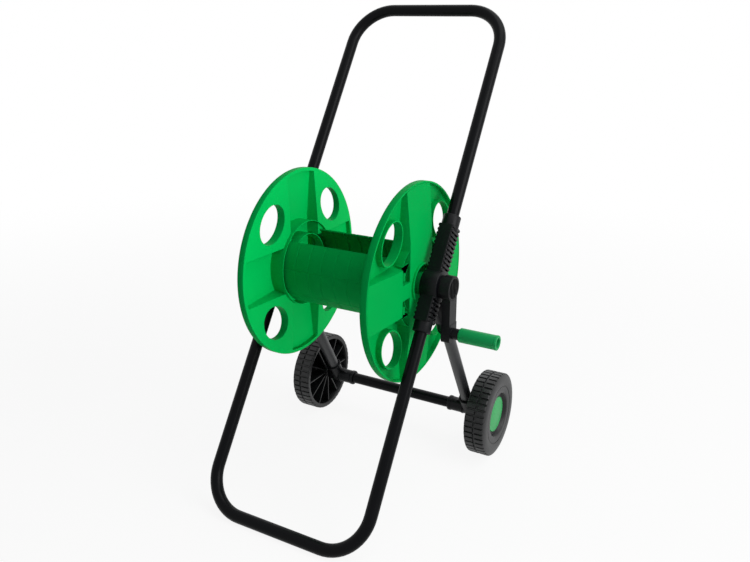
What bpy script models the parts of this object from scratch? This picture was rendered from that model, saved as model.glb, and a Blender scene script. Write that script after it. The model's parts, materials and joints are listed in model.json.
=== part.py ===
"""Two-wheeled garden hose reel cart.

A tall loop of two bent tubes leans back between a pair of moulded brackets.
The brackets carry the reel on one axis and two rear legs that run down to the
wheels. The origin is on the ground under the middle of the foot bar, +X points
to the crank, +Y to the wheels and +Z up.
"""

import math

import bmesh
import bpy
from mathutils import Matrix, Vector

# Fits
CLEARANCE = 0.0003
OVERLAP = 0.0006
AXIS_LIMIT = 1e-7

# Tubes
TUBE_RADIUS = 0.010
TUBE_WALL = 0.0012
TUBE_SIDES = 12

# The leaning loop, measured from the reel axis along the uprights
FRAME_TILT = math.radians(33.2)
FRAME_HALF_WIDTH = 0.143
HANDLE_REACH = 0.490
HANDLE_BEND_RADIUS = 0.0675
FOOT_REACH = 0.423
FOOT_BEND_RADIUS = 0.066
BEND_STEPS = 4
TUBE_STOP = 0.033

# Moulded brackets
SLEEVE_RADIUS = 0.0143
SLEEVE_CORE_RADIUS = 0.0123
UPPER_SLEEVE_REACH = 0.116
UPPER_COLLAR_LENGTH = 0.018
LOWER_SLEEVE_REACH = 0.0765
LOWER_COLLAR_LENGTH = 0.0165
LEG_SOCKET_REACH = 0.105
BOSS_RADIUS = 0.025
BOSS_INNER = 0.0140
BOSS_OUTER = 0.0150
RIB_HALF_WIDTH = 0.0126
RIB_FRONT = 0.0150
RIB_BACK = 0.0155
RIB_THICKNESS = 0.0026
RIB_PITCH = 0.0072
FRONT_WALL = 0.0034
FRONT_HALF_WIDTH = 0.0112
WEB_THICKNESS = 0.0060
WEB_REACH = 0.097

# Reel
REEL_SHAFT_RADIUS = 0.012
FLANGE_RADIUS = 0.160
FLANGE_SETBACK = 0.0393
RIM_WIDTH = 0.0115
RIM_THICKNESS = 0.0032
FLANGE_WALL = 0.0026
FLANGE_SIDES = 40
HUB_SIDES = 20
HAND_HOLE_RADIUS = 0.031
HAND_HOLE_DISTANCE = 0.118
HAND_HOLE_SIDES = 14
COLLAR_WALL = 0.0024
ARM_HALF_WIDTH = 0.040
ARM_RISE = 0.020
ARM_FLAT_REACH = 0.074
HUB_CUP_RADIUS = 0.033
HUB_CUP_INNER = 0.008
HUB_RECESS_RADIUS = 0.030
HUB_RECESS_FLOOR = 0.013
HUB_TUBE_RADIUS = 0.020
HUB_TUBE_INNER = -0.002
HUB_FACE_RADIUS = 0.018
LOCATING_RING_RADIUS = 0.0595
INNER_LOCATING_RING_RADIUS = 0.050
LOCATING_RING_WALL = 0.0020
LOCATING_RING_HEIGHT = 0.008
DRIVE_HALF_WIDTH = 0.0085

# Drum, two snap-in shells
DRUM_RADIUS = 0.066
DRUM_WALL = 0.0026
SHELL_CENTRE = math.radians(195)
SHELL_HALF_SPAN = math.radians(62)
SHELL_COLUMNS = 8
SHELL_ROWS = 3
SHELL_STEPS_PER_ROW = 3
PANEL_GROOVE_WIDTH = 0.0024
PANEL_GROOVE_DEPTH = 0.0007
PANEL_RIB_HEIGHT = 0.0016
TONGUE_HALF_WIDTH = 0.033
TONGUE_STEPS = 4
TAB_HEIGHT = 0.026
TAB_HALF_WIDTH = 0.0045
TAB_THICKNESS = 0.0022
HOOK_DEPTH = 0.0016
HOOK_LENGTH = 0.0022

# Crank
CRANK_RADIUS = 0.074
CRANK_SETOUT = 0.0205
CRANK_THICKNESS = 0.0138
CRANK_HUB_RADIUS = 0.020
CRANK_HUB_STEPS = 18
CRANK_HALF_WIDTH = 0.0128
CRANK_BLOCK_HALF_WIDTH = 0.0134
CRANK_BLOCK_TOP = 0.058
CRANK_BLOCK_PROUD = 0.0006
CRANK_END = 0.088
CRANK_WALL = 0.0026
CAP_RADIUS = 0.0182
CAP_THICKNESS = 0.0020
CAP_RIBS = 5
CAP_PLUG_RADIUS = 0.0105
BOLT_RADIUS = 0.003
BOLT_HEAD_RADIUS = 0.0058
BOLT_HEAD_HEIGHT = 0.004
WASHER_THICKNESS = 0.0015
NUT_RADIUS = 0.0058
NUT_HEIGHT = 0.0045
GRIP_RADIUS = 0.0115
GRIP_LENGTH = 0.063
GRIP_BOSS_RADIUS = 0.0090
GRIP_BOSS_LENGTH = 0.0127
GRIP_PIN_RADIUS = 0.004
GRIP_PIN_HEAD_RADIUS = 0.0056
GRIP_PIN_HEAD_LENGTH = 0.003
GRIP_MOUTH_RADIUS = 0.0063
GRIP_MOUTH_DEPTH = 0.012

# Wheels and axle
WHEEL_RADIUS = 0.0755
WHEEL_SETOUT = 0.021
WHEEL_WIDTH = 0.037
WHEEL_LUGS = 44
WHEEL_SIDES = 24
LUG_SHARE = 0.70
LUG_HEIGHT = 0.0024
CENTRE_GROOVE = 0.0044
WHEEL_CAVITY_RADIUS = 0.0665
WHEEL_WEB_INNER = 0.026
WHEEL_DISH_RADIUS = 0.040
WHEEL_DISH_DEPTH = 0.006
WHEEL_HUB_RADIUS = 0.011
WHEEL_HUB_INNER = -0.0015
WHEEL_SPOKES = 12
SPOKE_THICKNESS = 0.002
HUB_CAP_RADIUS = 0.032
HUB_CAP_RISE = 0.006
HUB_CAP_WALL = 0.0018
HUB_CAP_SEAT = 0.0025
AXLE_RADIUS = 0.004
AXLE_SETBACK = 0.165
PUSH_NUT_RADIUS = 0.008
PUSH_NUT_THICKNESS = 0.0012

# Axle tees
TEE_RADIUS = 0.0128
TEE_BEAD_RADIUS = 0.0137
TEE_BEAD_LENGTH = 0.007
TEE_SOCKET_BEAD_LENGTH = 0.004
TEE_SETBACK = 0.040
TEE_SETOUT = 0.0176
TEE_SOCKET_REACH = 0.032
LEG_END_GAP = 0.0145
CROSS_TUBE_GAP = 0.004
GUSSET_THICKNESS = 0.003

# Self-tapping screws
SCREW_RADIUS = 0.0017
SCREW_HOLE_RADIUS = 0.0020
SCREW_HEAD_RADIUS = 0.0032
SCREW_HEAD_HEIGHT = 0.0018
SCREW_TIP = 0.0045
SCREW_SEAT = 0.0118
SCREW_SIDES = 6

# Worked out from the sizes above
FACET_FACTOR = math.cos(math.pi / TUBE_SIDES)
LUG_HALF_ANGLE = LUG_SHARE * math.pi / WHEEL_LUGS
REEL_Y = FOOT_REACH * math.sin(FRAME_TILT)
REEL_Z = FOOT_REACH * math.cos(FRAME_TILT) + TUBE_RADIUS * FACET_FACTOR
AXLE_Y = REEL_Y + AXLE_SETBACK
AXLE_Z = WHEEL_RADIUS * math.cos(LUG_HALF_ANGLE)
LEG_LENGTH = math.hypot(AXLE_SETBACK, REEL_Z - AXLE_Z)
LEG_TILT = math.atan2(AXLE_SETBACK, REEL_Z - AXLE_Z)
LEG_X = FRAME_HALF_WIDTH
FLANGE_INNER = FRAME_HALF_WIDTH - FLANGE_SETBACK
CRANK_INNER = FRAME_HALF_WIDTH + CRANK_SETOUT
WHEEL_INNER = LEG_X + WHEEL_SETOUT
TEE_INNER = LEG_X - TEE_SETBACK
TEE_OUTER = LEG_X + TEE_SETOUT
CROSS_TUBE_HALF_LENGTH = LEG_X - CROSS_TUBE_GAP
CRANK_OUTER = CRANK_INNER + CRANK_THICKNESS
CRANK_FACE = CRANK_OUTER - 1.5 * CAP_THICKNESS - CLEARANCE
BORE_RADIUS = TUBE_RADIUS + CLEARANCE
ARM_FLOOR = ARM_RISE - FLANGE_WALL
HUB_FACE = FRAME_HALF_WIDTH - BOSS_INNER - CLEARANCE - FLANGE_INNER

X_AXIS = Vector((1, 0, 0))
Y_AXIS = Vector((0, 1, 0))
Z_AXIS = Vector((0, 0, 1))


def make_material(name, colour, roughness, metallic=0.0):
    look = bpy.data.materials.new(name)
    look.use_nodes = True
    shader = look.node_tree.nodes["Principled BSDF"]
    shader.inputs["Base Color"].default_value = (*colour, 1.0)
    shader.inputs["Roughness"].default_value = roughness
    shader.inputs["Metallic"].default_value = metallic
    look.diffuse_color = (*colour, 1.0)
    return look


def object_from(name, bm):
    """Turns an edited mesh into an object with its faces pointing out."""
    bmesh.ops.recalc_face_normals(bm, faces=bm.faces)
    mesh = bpy.data.meshes.new(name)
    bm.to_mesh(mesh)
    bm.free()
    made = bpy.data.objects.new(name, mesh)
    bpy.context.collection.objects.link(made)
    return made


def combine(target, operation, *tools):
    """Applies one Boolean per tool to the target and removes the tools."""
    for tool in tools:
        step = target.modifiers.new(operation.lower(), "BOOLEAN")
        step.operation = operation
        step.solver = "EXACT"
        step.object = tool
    graph = bpy.context.evaluated_depsgraph_get()
    target.data = bpy.data.meshes.new_from_object(target.evaluated_get(graph))
    target.modifiers.clear()
    for tool in tools:
        bpy.data.objects.remove(tool, do_unlink=True)
    return target


def union(target, *tools):
    return combine(target, "UNION", *tools)


def cut(target, *tools):
    return combine(target, "DIFFERENCE", *tools)


def keep_inside(target, *tools):
    return combine(target, "INTERSECT", *tools)


def mirrored(name, source):
    """Copies a piece to the other side of the cart."""
    bm = bmesh.new()
    bm.from_mesh(source.data)
    bmesh.ops.transform(bm, matrix=Matrix.Scale(-1, 4, X_AXIS), verts=bm.verts)
    bmesh.ops.reverse_faces(bm, faces=bm.faces)
    return object_from(name, bm)


def extruded(name, outline, offset):
    """Pushes a flat outline of 3-D points along an offset."""
    bm = bmesh.new()
    face = bm.faces.new([bm.verts.new(point) for point in outline])
    grown = bmesh.ops.extrude_face_region(bm, geom=[face])["geom"]
    moved = [item for item in grown if isinstance(item, bmesh.types.BMVert)]
    bmesh.ops.translate(bm, verts=moved, vec=offset)
    return object_from(name, bm)


def block(name, low, high):
    (x0, y0, z0), (x1, y1, z1) = low, high
    outline = [(x0, y0, z0), (x1, y0, z0), (x1, y1, z0), (x0, y1, z0)]
    return extruded(name, outline, (0, 0, z1 - z0))


def ring(bm, centre, across, up, radius, sides, phase):
    turn = math.tau / sides
    angles = [phase + (index + 0.5) * turn for index in range(sides)]
    return [
        bm.verts.new(centre + radius * (math.cos(angle) * across + math.sin(angle) * up))
        for angle in angles
    ]


def bridge(bm, first, second):
    count = len(first)
    for index in range(count):
        after = (index + 1) % count
        corners = []
        for vertex in (first[index], first[after], second[after], second[index]):
            if vertex not in corners:
                corners.append(vertex)
        if len(corners) > 2:
            bm.faces.new(corners)


def pipe(name, stations, outer, inner=0.0, sides=TUBE_SIDES, phase=0.0):
    """Sweeps a round section through stations of (centre, across, up)."""
    bm = bmesh.new()
    skins = []
    for radius in (outer, inner) if inner else (outer,):
        rings = [ring(bm, *station, radius, sides, phase) for station in stations]
        for first, second in zip(rings, rings[1:]):
            bridge(bm, first, second)
        skins.append(rings)
    for end in (0, -1):
        if inner:
            bridge(bm, skins[0][end], skins[1][end])
        else:
            bm.faces.new(skins[0][end])
    return object_from(name, bm)


def straight(start, end, across):
    """Stations of a straight run, with the section turned from a side vector."""
    start, end = Vector(start), Vector(end)
    up = (end - start).normalized().cross(across)
    return [(start, across, up), (end, across, up)]


def rod(name, start, end, radius, across, sides):
    return pipe(name, straight(start, end, across), radius, 0.0, sides)


def rod_x(name, start, end, radius, sides, y=0.0, z=0.0):
    return rod(name, (start, y, z), (end, y, z), radius, Y_AXIS, sides)


def turned(name, profile, sides):
    """Turns a closed outline of (x, radius) points about the X axis."""
    bm = bmesh.new()
    rings = []
    for x, radius in profile:
        centre = Vector((x, 0, 0))
        if radius < AXIS_LIMIT:
            rings.append([bm.verts.new(centre)] * sides)
        else:
            rings.append(ring(bm, centre, Y_AXIS, Z_AXIS, radius, sides, 0.0))
    for first, second in zip(rings, rings[1:] + rings[:1]):
        bridge(bm, first, second)
    return object_from(name, bm)


def place(piece, look, parent):
    """Gives a finished piece its material and hangs it on its empty."""
    piece.data.materials.clear()
    piece.data.materials.append(look)
    piece.data.shade_smooth()
    piece.data.set_sharp_from_angle(angle=math.radians(28))
    piece.parent = parent
    return piece


def make_empty(name, location, tilt=0.0, parent=None):
    anchor = bpy.data.objects.new(name, None)
    anchor.location = location
    anchor.rotation_euler = (tilt, 0, 0)
    anchor.parent = parent
    anchor.empty_display_size = 0.03
    bpy.context.collection.objects.link(anchor)
    return anchor


def copy_of(source):
    made = bpy.data.objects.new(source.name, source.data.copy())
    bpy.context.collection.objects.link(made)
    return made


def flipped(name, source):
    """Moves a piece to the other side of the cart."""
    made = mirrored(name, source)
    bpy.data.objects.remove(source, do_unlink=True)
    return made


def screw_pair(name, tube, holder, x, z, to_holder=None):
    """Bores a tube and its right-hand holder for a screw, and makes two screws.

    The screws go in along -Y at x and -x, in the axes of the tube.
    """

    def along(part, start, end, radius):
        return rod(part, (x, start, z), (x, end, z), radius, X_AXIS, SCREW_SIDES)

    seat = SCREW_SEAT
    head_end = seat + SCREW_HEAD_HEIGHT
    screw = along(f"right_{name}", seat + CLEARANCE, head_end, SCREW_HEAD_RADIUS)
    union(screw, along("shank", SCREW_TIP, seat + OVERLAP, SCREW_RADIUS))
    hole = along("hole", 0, seat + OVERLAP, SCREW_HOLE_RADIUS)
    spot_face = along("spot_face", seat, 2 * seat, SCREW_HEAD_RADIUS + CLEARANCE)
    holder_tools = [copy_of(hole), spot_face]
    if to_holder:
        for tool in holder_tools:
            tool.data.transform(to_holder)
    cut(holder, *holder_tools)
    cut(tube, mirrored("left_hole", hole), hole)
    return screw, mirrored(f"left_{name}", screw)


def frame_stations(reach, bend_radius, start, upwards):
    """Stations of a U of tube, from the right bracket round to the left one."""
    sign = 1 if upwards else -1
    corner_x = FRAME_HALF_WIDTH - bend_radius
    corner_z = reach - bend_radius
    path = [(FRAME_HALF_WIDTH, start, (0, 1))]
    for step in range(BEND_STEPS + 1):
        angle = step / BEND_STEPS * math.pi / 2
        x = corner_x + bend_radius * math.cos(angle)
        z = corner_z + bend_radius * math.sin(angle)
        path.append((x, z, (-math.sin(angle), math.cos(angle))))
    for x, z, (along_x, along_z) in reversed(path[:]):
        path.append((-x, z, (along_x, -along_z)))
    stations = []
    for x, z, (along_x, along_z) in path:
        outward = Vector((along_z, 0, -along_x * sign))
        stations.append((Vector((x, 0, sign * z)), outward, Y_AXIS))
    return stations


def upright_span(start, end):
    """Stations along the right upright, at distances above the reel axis."""
    return [(Vector((FRAME_HALF_WIDTH, 0, z)), X_AXIS, Y_AXIS) for z in (start, end)]


def leg_span(start, end):
    """Stations down the right leg, in the leaning frame's axes."""
    turn = Matrix.Rotation(FRAME_TILT + LEG_TILT, 3, "X")
    side = Vector((LEG_X, 0, 0))
    return [(side + turn @ Vector((0, 0, -s)), X_AXIS, turn @ Y_AXIS) for s in (start, end)]


def moved_out(piece, x):
    piece.data.transform(Matrix.Translation((x, 0, 0)))
    return piece


def bracket_web():
    """The flat gusset between the foot sleeve and the leg socket."""
    leg_centre = leg_span(WEB_REACH, WEB_REACH)[0][0]
    x = FRAME_HALF_WIDTH - WEB_THICKNESS / 2
    corners = [(x, 0, 0), (x, 0, -LOWER_SLEEVE_REACH + LOWER_COLLAR_LENGTH), (x, *leg_centre.yz)]
    return extruded("web", corners, (WEB_THICKNESS, 0, 0))


def bracket_ribs(top, bottom):
    """The smooth front wall of a sleeve and the ribs across it."""
    middle = FRAME_HALF_WIDTH
    low = (middle - FRONT_HALF_WIDTH, -RIB_FRONT - OVERLAP, bottom)
    high = (middle + FRONT_HALF_WIDTH, -RIB_FRONT + FRONT_WALL, top)
    parts = [
        block("front_wall", low, high),
        pipe("core", upright_span(bottom, top), SLEEVE_CORE_RADIUS),
    ]
    count = int((top - bottom - RIB_THICKNESS) / RIB_PITCH) + 1
    for index in range(count):
        z = top - index * RIB_PITCH
        low = (middle - RIB_HALF_WIDTH, -RIB_FRONT, z - RIB_THICKNESS)
        high = (middle + RIB_HALF_WIDTH, RIB_BACK, z - CLEARANCE)
        parts.append(block("rib", low, high))
    return parts


def make_bracket():
    """The right bracket: three sleeves round the reel boss, ribbed outside."""
    inside = BOSS_RADIUS / 2
    middle = FRAME_HALF_WIDTH
    top = UPPER_SLEEVE_REACH - UPPER_COLLAR_LENGTH
    bottom = LOWER_COLLAR_LENGTH - LOWER_SLEEVE_REACH
    bracket = rod_x("right_bracket", middle - BOSS_INNER, middle + BOSS_OUTER, BOSS_RADIUS, HUB_SIDES)
    parts = [
        pipe("upper_collar", upright_span(top - RIB_PITCH, UPPER_SLEEVE_REACH), SLEEVE_RADIUS),
        pipe("lower_collar", upright_span(bottom + RIB_PITCH, -LOWER_SLEEVE_REACH), SLEEVE_RADIUS),
        pipe("leg_socket", leg_span(inside, LEG_SOCKET_REACH), SLEEVE_RADIUS),
        bracket_web(),
    ]
    inner_end = BOSS_RADIUS * 0.75
    parts += bracket_ribs(top, inner_end)
    parts += bracket_ribs(-inner_end, bottom)
    union(bracket, *parts)
    stop = TUBE_STOP - CLEARANCE
    cut(
        bracket,
        pipe("handle_bore", upright_span(stop, 2 * UPPER_SLEEVE_REACH), BORE_RADIUS, phase=FRAME_TILT),
        pipe("foot_bore", upright_span(-stop, -2 * LOWER_SLEEVE_REACH), BORE_RADIUS, phase=FRAME_TILT),
        pipe("leg_bore", leg_span(stop, 2 * LEG_SOCKET_REACH), BORE_RADIUS),
        rod_x("shaft_bore", 0, 2 * middle, REEL_SHAFT_RADIUS + CLEARANCE, HUB_SIDES),
    )
    return bracket


def cross_arms(name, bottom, drop, half_width, limit):
    """Two crossed bars whose backs slope down to the rim, trimmed to a circle."""
    ramp_end = math.sqrt((FLANGE_RADIUS - RIM_THICKNESS) ** 2 - ARM_HALF_WIDTH**2) - drop
    rim_height = RIM_WIDTH - 2 * CLEARANCE - drop
    far = 2 * FLANGE_RADIUS
    back = [(far, rim_height), (ramp_end, rim_height), (ARM_FLAT_REACH - drop, ARM_RISE - drop)]
    back += [(-reach, x) for reach, x in reversed(back)]
    profile = [(-far, bottom), (far, bottom), *back]
    bars = []
    for upright in (True, False):
        side = Vector((0, half_width, 0)) if upright else Vector((0, 0, half_width))
        along = Z_AXIS if upright else Y_AXIS
        outline = [X_AXIS * x + along * reach - side for reach, x in profile]
        bar = extruded(name, outline, 2 * side)
        bars.append(keep_inside(bar, rod_x("limit", -far, far, limit, FLANGE_SIDES)))
    return union(*bars)


def hand_hole_centres():
    step = HAND_HOLE_DISTANCE / math.sqrt(2)
    return [(y, z) for y in (-step, step) for z in (-step, step)]


def tab_windows():
    """Cutters for the four slots that the drum shells snap into."""
    outer_edge = tab_distance() + TAB_THICKNESS / 2 + CLEARANCE
    inner_edge = outer_edge - TAB_THICKNESS - HOOK_DEPTH - 2 * CLEARANCE
    half_width = TAB_HALF_WIDTH + 2 * CLEARANCE
    low_x, high_x = ARM_FLOOR - FLANGE_WALL, ARM_RISE + FLANGE_WALL
    windows = []
    for low_y, high_y in ((-outer_edge, -inner_edge), (inner_edge, outer_edge)):
        for z in (-TAB_HEIGHT, TAB_HEIGHT):
            low = (low_x, low_y, z - half_width)
            high = (high_x, high_y, z + half_width)
            windows.append(block("window", low, high))
    return windows


def tab_distance():
    """Distance from the reel axis, along Y, of a shell's snap tabs."""
    middle = DRUM_RADIUS - DRUM_WALL / 2
    return math.sqrt(middle**2 - TAB_HEIGHT**2)


def make_flange(name, square_drive):
    """A reel flange, its inner face at x = 0 and its outer side towards +X."""
    inner_rim = FLANGE_RADIUS - RIM_THICKNESS
    edge = FLANGE_WALL / 3
    flange = turned(
        name,
        [
            (0, 0),
            (0, FLANGE_RADIUS - edge),
            (edge, FLANGE_RADIUS),
            (RIM_WIDTH - edge, FLANGE_RADIUS),
            (RIM_WIDTH, FLANGE_RADIUS - edge),
            (RIM_WIDTH, inner_rim),
            (FLANGE_WALL, inner_rim),
            (FLANGE_WALL, 0),
        ],
        FLANGE_SIDES,
    )
    arms = cross_arms("arms", edge, 0, ARM_HALF_WIDTH, inner_rim + RIM_THICKNESS / 2)
    hollow = cross_arms(
        "hollow", -edge, FLANGE_WALL, ARM_HALF_WIDTH - FLANGE_WALL, inner_rim - FLANGE_WALL
    )
    collars = [
        rod_x("collar", edge, RIM_WIDTH - CLEARANCE, HAND_HOLE_RADIUS + COLLAR_WALL, HAND_HOLE_SIDES, y, z)
        for y, z in hand_hole_centres()
    ]
    union(flange, arms, *collars)
    well = (HUB_RECESS_RADIUS + HUB_CUP_RADIUS) / 2
    cut(flange, hollow, rod_x("well", -ARM_RISE, 2 * ARM_RISE, well, HUB_SIDES))
    hub = turned(
        "hub",
        [
            (HUB_TUBE_INNER, 0),
            (HUB_TUBE_INNER, HUB_TUBE_RADIUS),
            (HUB_CUP_INNER, HUB_TUBE_RADIUS),
            (HUB_CUP_INNER, HUB_CUP_RADIUS),
            (ARM_RISE + edge, HUB_CUP_RADIUS),
            (ARM_RISE + edge, HUB_RECESS_RADIUS),
            (HUB_RECESS_FLOOR, HUB_RECESS_RADIUS),
            (HUB_RECESS_FLOOR, HUB_FACE_RADIUS),
            (HUB_FACE, HUB_FACE_RADIUS),
            (HUB_FACE, 0),
        ],
        HUB_SIDES,
    )
    rings = [
        pipe(
            "locating_ring", straight((-LOCATING_RING_HEIGHT, 0, 0), (ARM_FLOOR + OVERLAP, 0, 0), Y_AXIS),
            radius, radius - LOCATING_RING_WALL, HUB_SIDES,
        )
        for radius in (LOCATING_RING_RADIUS, INNER_LOCATING_RING_RADIUS)
    ]
    union(flange, hub, *rings)
    if square_drive:
        half = DRIVE_HALF_WIDTH
        bore = block("bore", (-ARM_RISE, -half, -half), (2 * ARM_RISE, half, half))
    else:
        bore = rod_x("bore", -ARM_RISE, 2 * ARM_RISE, REEL_SHAFT_RADIUS + CLEARANCE, HUB_SIDES)
    holes = [
        rod_x("hand_hole", -ARM_RISE, 2 * ARM_RISE, HAND_HOLE_RADIUS, HAND_HOLE_SIDES, y, z)
        for y, z in hand_hole_centres()
    ]
    cut(flange, bore, *holes, *tab_windows())
    return moved_out(flange, FLANGE_INNER)


def groove_stations(start, end, count, between, groove):
    """Places from start to end as (place, depth share), with a V at each line."""
    pitch = (end - start) / count
    stations = []
    for cell in range(count):
        left = start + cell * pitch + (groove / 2 if cell else 0)
        right = start + (cell + 1) * pitch - (groove / 2 if cell < count - 1 else 0)
        for step in range(between + 1):
            stations.append((left + (right - left) * step / between, 0))
        if cell < count - 1:
            stations.append((start + (cell + 1) * pitch, 1))
    return stations


def arc_slab(name, radius, wall, centre, half_span, steps, start_x, end_x):
    """A curved plate, part of a tube about the X axis."""
    angles = [centre + half_span * (2 * step / steps - 1) for step in range(steps + 1)]
    outline = [(start_x, radius * math.cos(a), radius * math.sin(a)) for a in angles]
    inside = radius - wall
    outline += [(start_x, inside * math.cos(a), inside * math.sin(a)) for a in reversed(angles)]
    return extruded(name, outline, (end_x - start_x, 0, 0))


def shell_body(name):
    """The curved wall of a drum shell, panelled outside and ribbed inside."""
    half_length = FLANGE_INNER - CLEARANCE
    along = groove_stations(-half_length, half_length, SHELL_COLUMNS, 1, PANEL_GROOVE_WIDTH)
    groove_angle = PANEL_GROOVE_WIDTH / DRUM_RADIUS
    first = SHELL_CENTRE - SHELL_HALF_SPAN
    last = SHELL_CENTRE + SHELL_HALF_SPAN
    around = groove_stations(first, last, SHELL_ROWS, SHELL_STEPS_PER_ROW, groove_angle)
    bm = bmesh.new()

    def skin(radius, step):
        grid = []
        for x, x_depth in along:
            row = []
            for angle, angle_depth in around:
                r = radius - step * max(x_depth, angle_depth)
                row.append(bm.verts.new((x, r * math.cos(angle), r * math.sin(angle))))
            grid.append(row)
        for left, right in zip(grid, grid[1:]):
            for index in range(len(left) - 1):
                bm.faces.new((left[index], left[index + 1], right[index + 1], right[index]))
        return grid

    outside = skin(DRUM_RADIUS, PANEL_GROOVE_DEPTH)
    inside = skin(DRUM_RADIUS - DRUM_WALL, PANEL_RIB_HEIGHT)

    def edge_loop(grid):
        loop = grid[0][:-1] + [row[-1] for row in grid[:-1]]
        return loop + grid[-1][:0:-1] + [row[0] for row in reversed(grid[1:])]

    bridge(bm, edge_loop(outside), edge_loop(inside))
    return object_from(name, bm)


def make_shell(name):
    """The front drum shell, with a tongue and two snap tabs at each end."""
    shell = shell_body(name)
    half_span = math.asin(TONGUE_HALF_WIDTH / DRUM_RADIUS)
    inside = FLANGE_INNER - FLANGE_WALL
    tongue_end = FLANGE_INNER + ARM_FLOOR - CLEARANCE
    tab_end = FLANGE_INNER + ARM_RISE + HOOK_LENGTH
    outer_face = FLANGE_INNER + ARM_RISE + CLEARANCE
    y = -tab_distance()
    half = TAB_THICKNESS / 2
    for side in (-1, 1):
        parts = [
            arc_slab(
                "tongue", DRUM_RADIUS - OVERLAP, DRUM_WALL - 2 * OVERLAP, math.pi, half_span,
                TONGUE_STEPS, side * inside, side * tongue_end,
            )
        ]
        for z in (-TAB_HEIGHT, TAB_HEIGHT):
            bottom = z - TAB_HALF_WIDTH
            tab = [(tongue_end - DRUM_WALL, y - half), (outer_face, y - half)]
            tab += [(outer_face, y - half - HOOK_DEPTH), (tab_end, y), (tab_end, y + half)]
            tab.append((tongue_end - DRUM_WALL, y + half))
            corners = [(side * x, tab_y, bottom) for x, tab_y in tab]
            parts.append(extruded("tab", corners, (0, 0, 2 * TAB_HALF_WIDTH)))
        union(shell, *parts)
    return shell


def half_turned(name, source):
    """Copies a piece turned half a turn about the vertical."""
    made = copy_of(source)
    made.name = made.data.name = name
    made.data.transform(Matrix.Rotation(math.pi, 4, "Z"))
    return made


def make_crank():
    """The crank arm with its shaft, square drive and open back."""
    arm_outline = []
    start = -math.acos(CRANK_HALF_WIDTH / CRANK_HUB_RADIUS)
    span = math.pi - 2 * start
    for step in range(CRANK_HUB_STEPS + 1):
        angle = start + span * step / CRANK_HUB_STEPS
        y, z = CRANK_HUB_RADIUS * math.cos(angle), CRANK_HUB_RADIUS * math.sin(angle)
        arm_outline.append((CRANK_INNER, y, z))
    arm_outline += [
        (CRANK_INNER, -CRANK_HALF_WIDTH, -CRANK_RADIUS),
        (CRANK_INNER, CRANK_HALF_WIDTH, -CRANK_RADIUS),
    ]
    crank = extruded("crank_arm", arm_outline, (CRANK_THICKNESS, 0, 0))
    end_block = []
    low_x = CRANK_INNER - CRANK_BLOCK_PROUD
    for y, z in (
        (-CRANK_BLOCK_HALF_WIDTH, -CRANK_BLOCK_TOP),
        (-CRANK_BLOCK_HALF_WIDTH, -CRANK_END + 0.006),
        (-CRANK_BLOCK_HALF_WIDTH + 0.006, -CRANK_END),
        (CRANK_BLOCK_HALF_WIDTH - 0.006, -CRANK_END),
        (CRANK_BLOCK_HALF_WIDTH, -CRANK_END + 0.006),
        (CRANK_BLOCK_HALF_WIDTH, -CRANK_BLOCK_TOP),
    ):
        end_block.append((low_x, y, z))
    boss_outer = FRAME_HALF_WIDTH + BOSS_OUTER + CLEARANCE
    shaft_end = FLANGE_INNER + HUB_FACE + CLEARANCE
    drive_end = FLANGE_INNER + HUB_TUBE_INNER + BOLT_RADIUS
    half = DRIVE_HALF_WIDTH - CLEARANCE
    grip_seat = CRANK_OUTER + GRIP_BOSS_LENGTH
    union(
        crank,
        extruded("end_block", end_block, (CRANK_THICKNESS + 2 * CRANK_BLOCK_PROUD, 0, 0)),
        rod_x("thrust_face", boss_outer, CRANK_INNER + OVERLAP, CAP_RADIUS, HUB_SIDES),
        rod_x("shaft", shaft_end, CRANK_INNER + OVERLAP, REEL_SHAFT_RADIUS, HUB_SIDES),
        block("drive", (drive_end, -half, -half), (shaft_end + OVERLAP, half, half)),
        rod_x("grip_boss", CRANK_OUTER, grip_seat, GRIP_BOSS_RADIUS, 16, 0, -CRANK_RADIUS),
    )
    pocket_half = CRANK_HALF_WIDTH - CRANK_WALL
    pocket_low = (CRANK_INNER - CRANK_THICKNESS, -pocket_half, -CRANK_BLOCK_TOP + CRANK_WALL)
    pocket_high = (CRANK_OUTER - CRANK_WALL, pocket_half, -CRANK_HUB_RADIUS - CRANK_WALL)
    head_seat = CRANK_FACE - 2 * CRANK_WALL - CLEARANCE
    cut(
        crank,
        block("pocket", pocket_low, pocket_high),
        rod_x("bolt_hole", 0, 2 * CRANK_OUTER, BOLT_RADIUS + CLEARANCE, 16),
        rod_x("cap_seat", CRANK_FACE, 2 * CRANK_OUTER, CAP_RADIUS + CLEARANCE, HUB_SIDES),
        rod_x("plug_seat", head_seat, 2 * CRANK_OUTER, CAP_PLUG_RADIUS + CLEARANCE, 16),
        rod_x("pin_hole", CRANK_INNER + CRANK_WALL, 2 * CRANK_OUTER, GRIP_PIN_RADIUS + CLEARANCE, 16,
              0, -CRANK_RADIUS),
    )
    return crank


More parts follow.
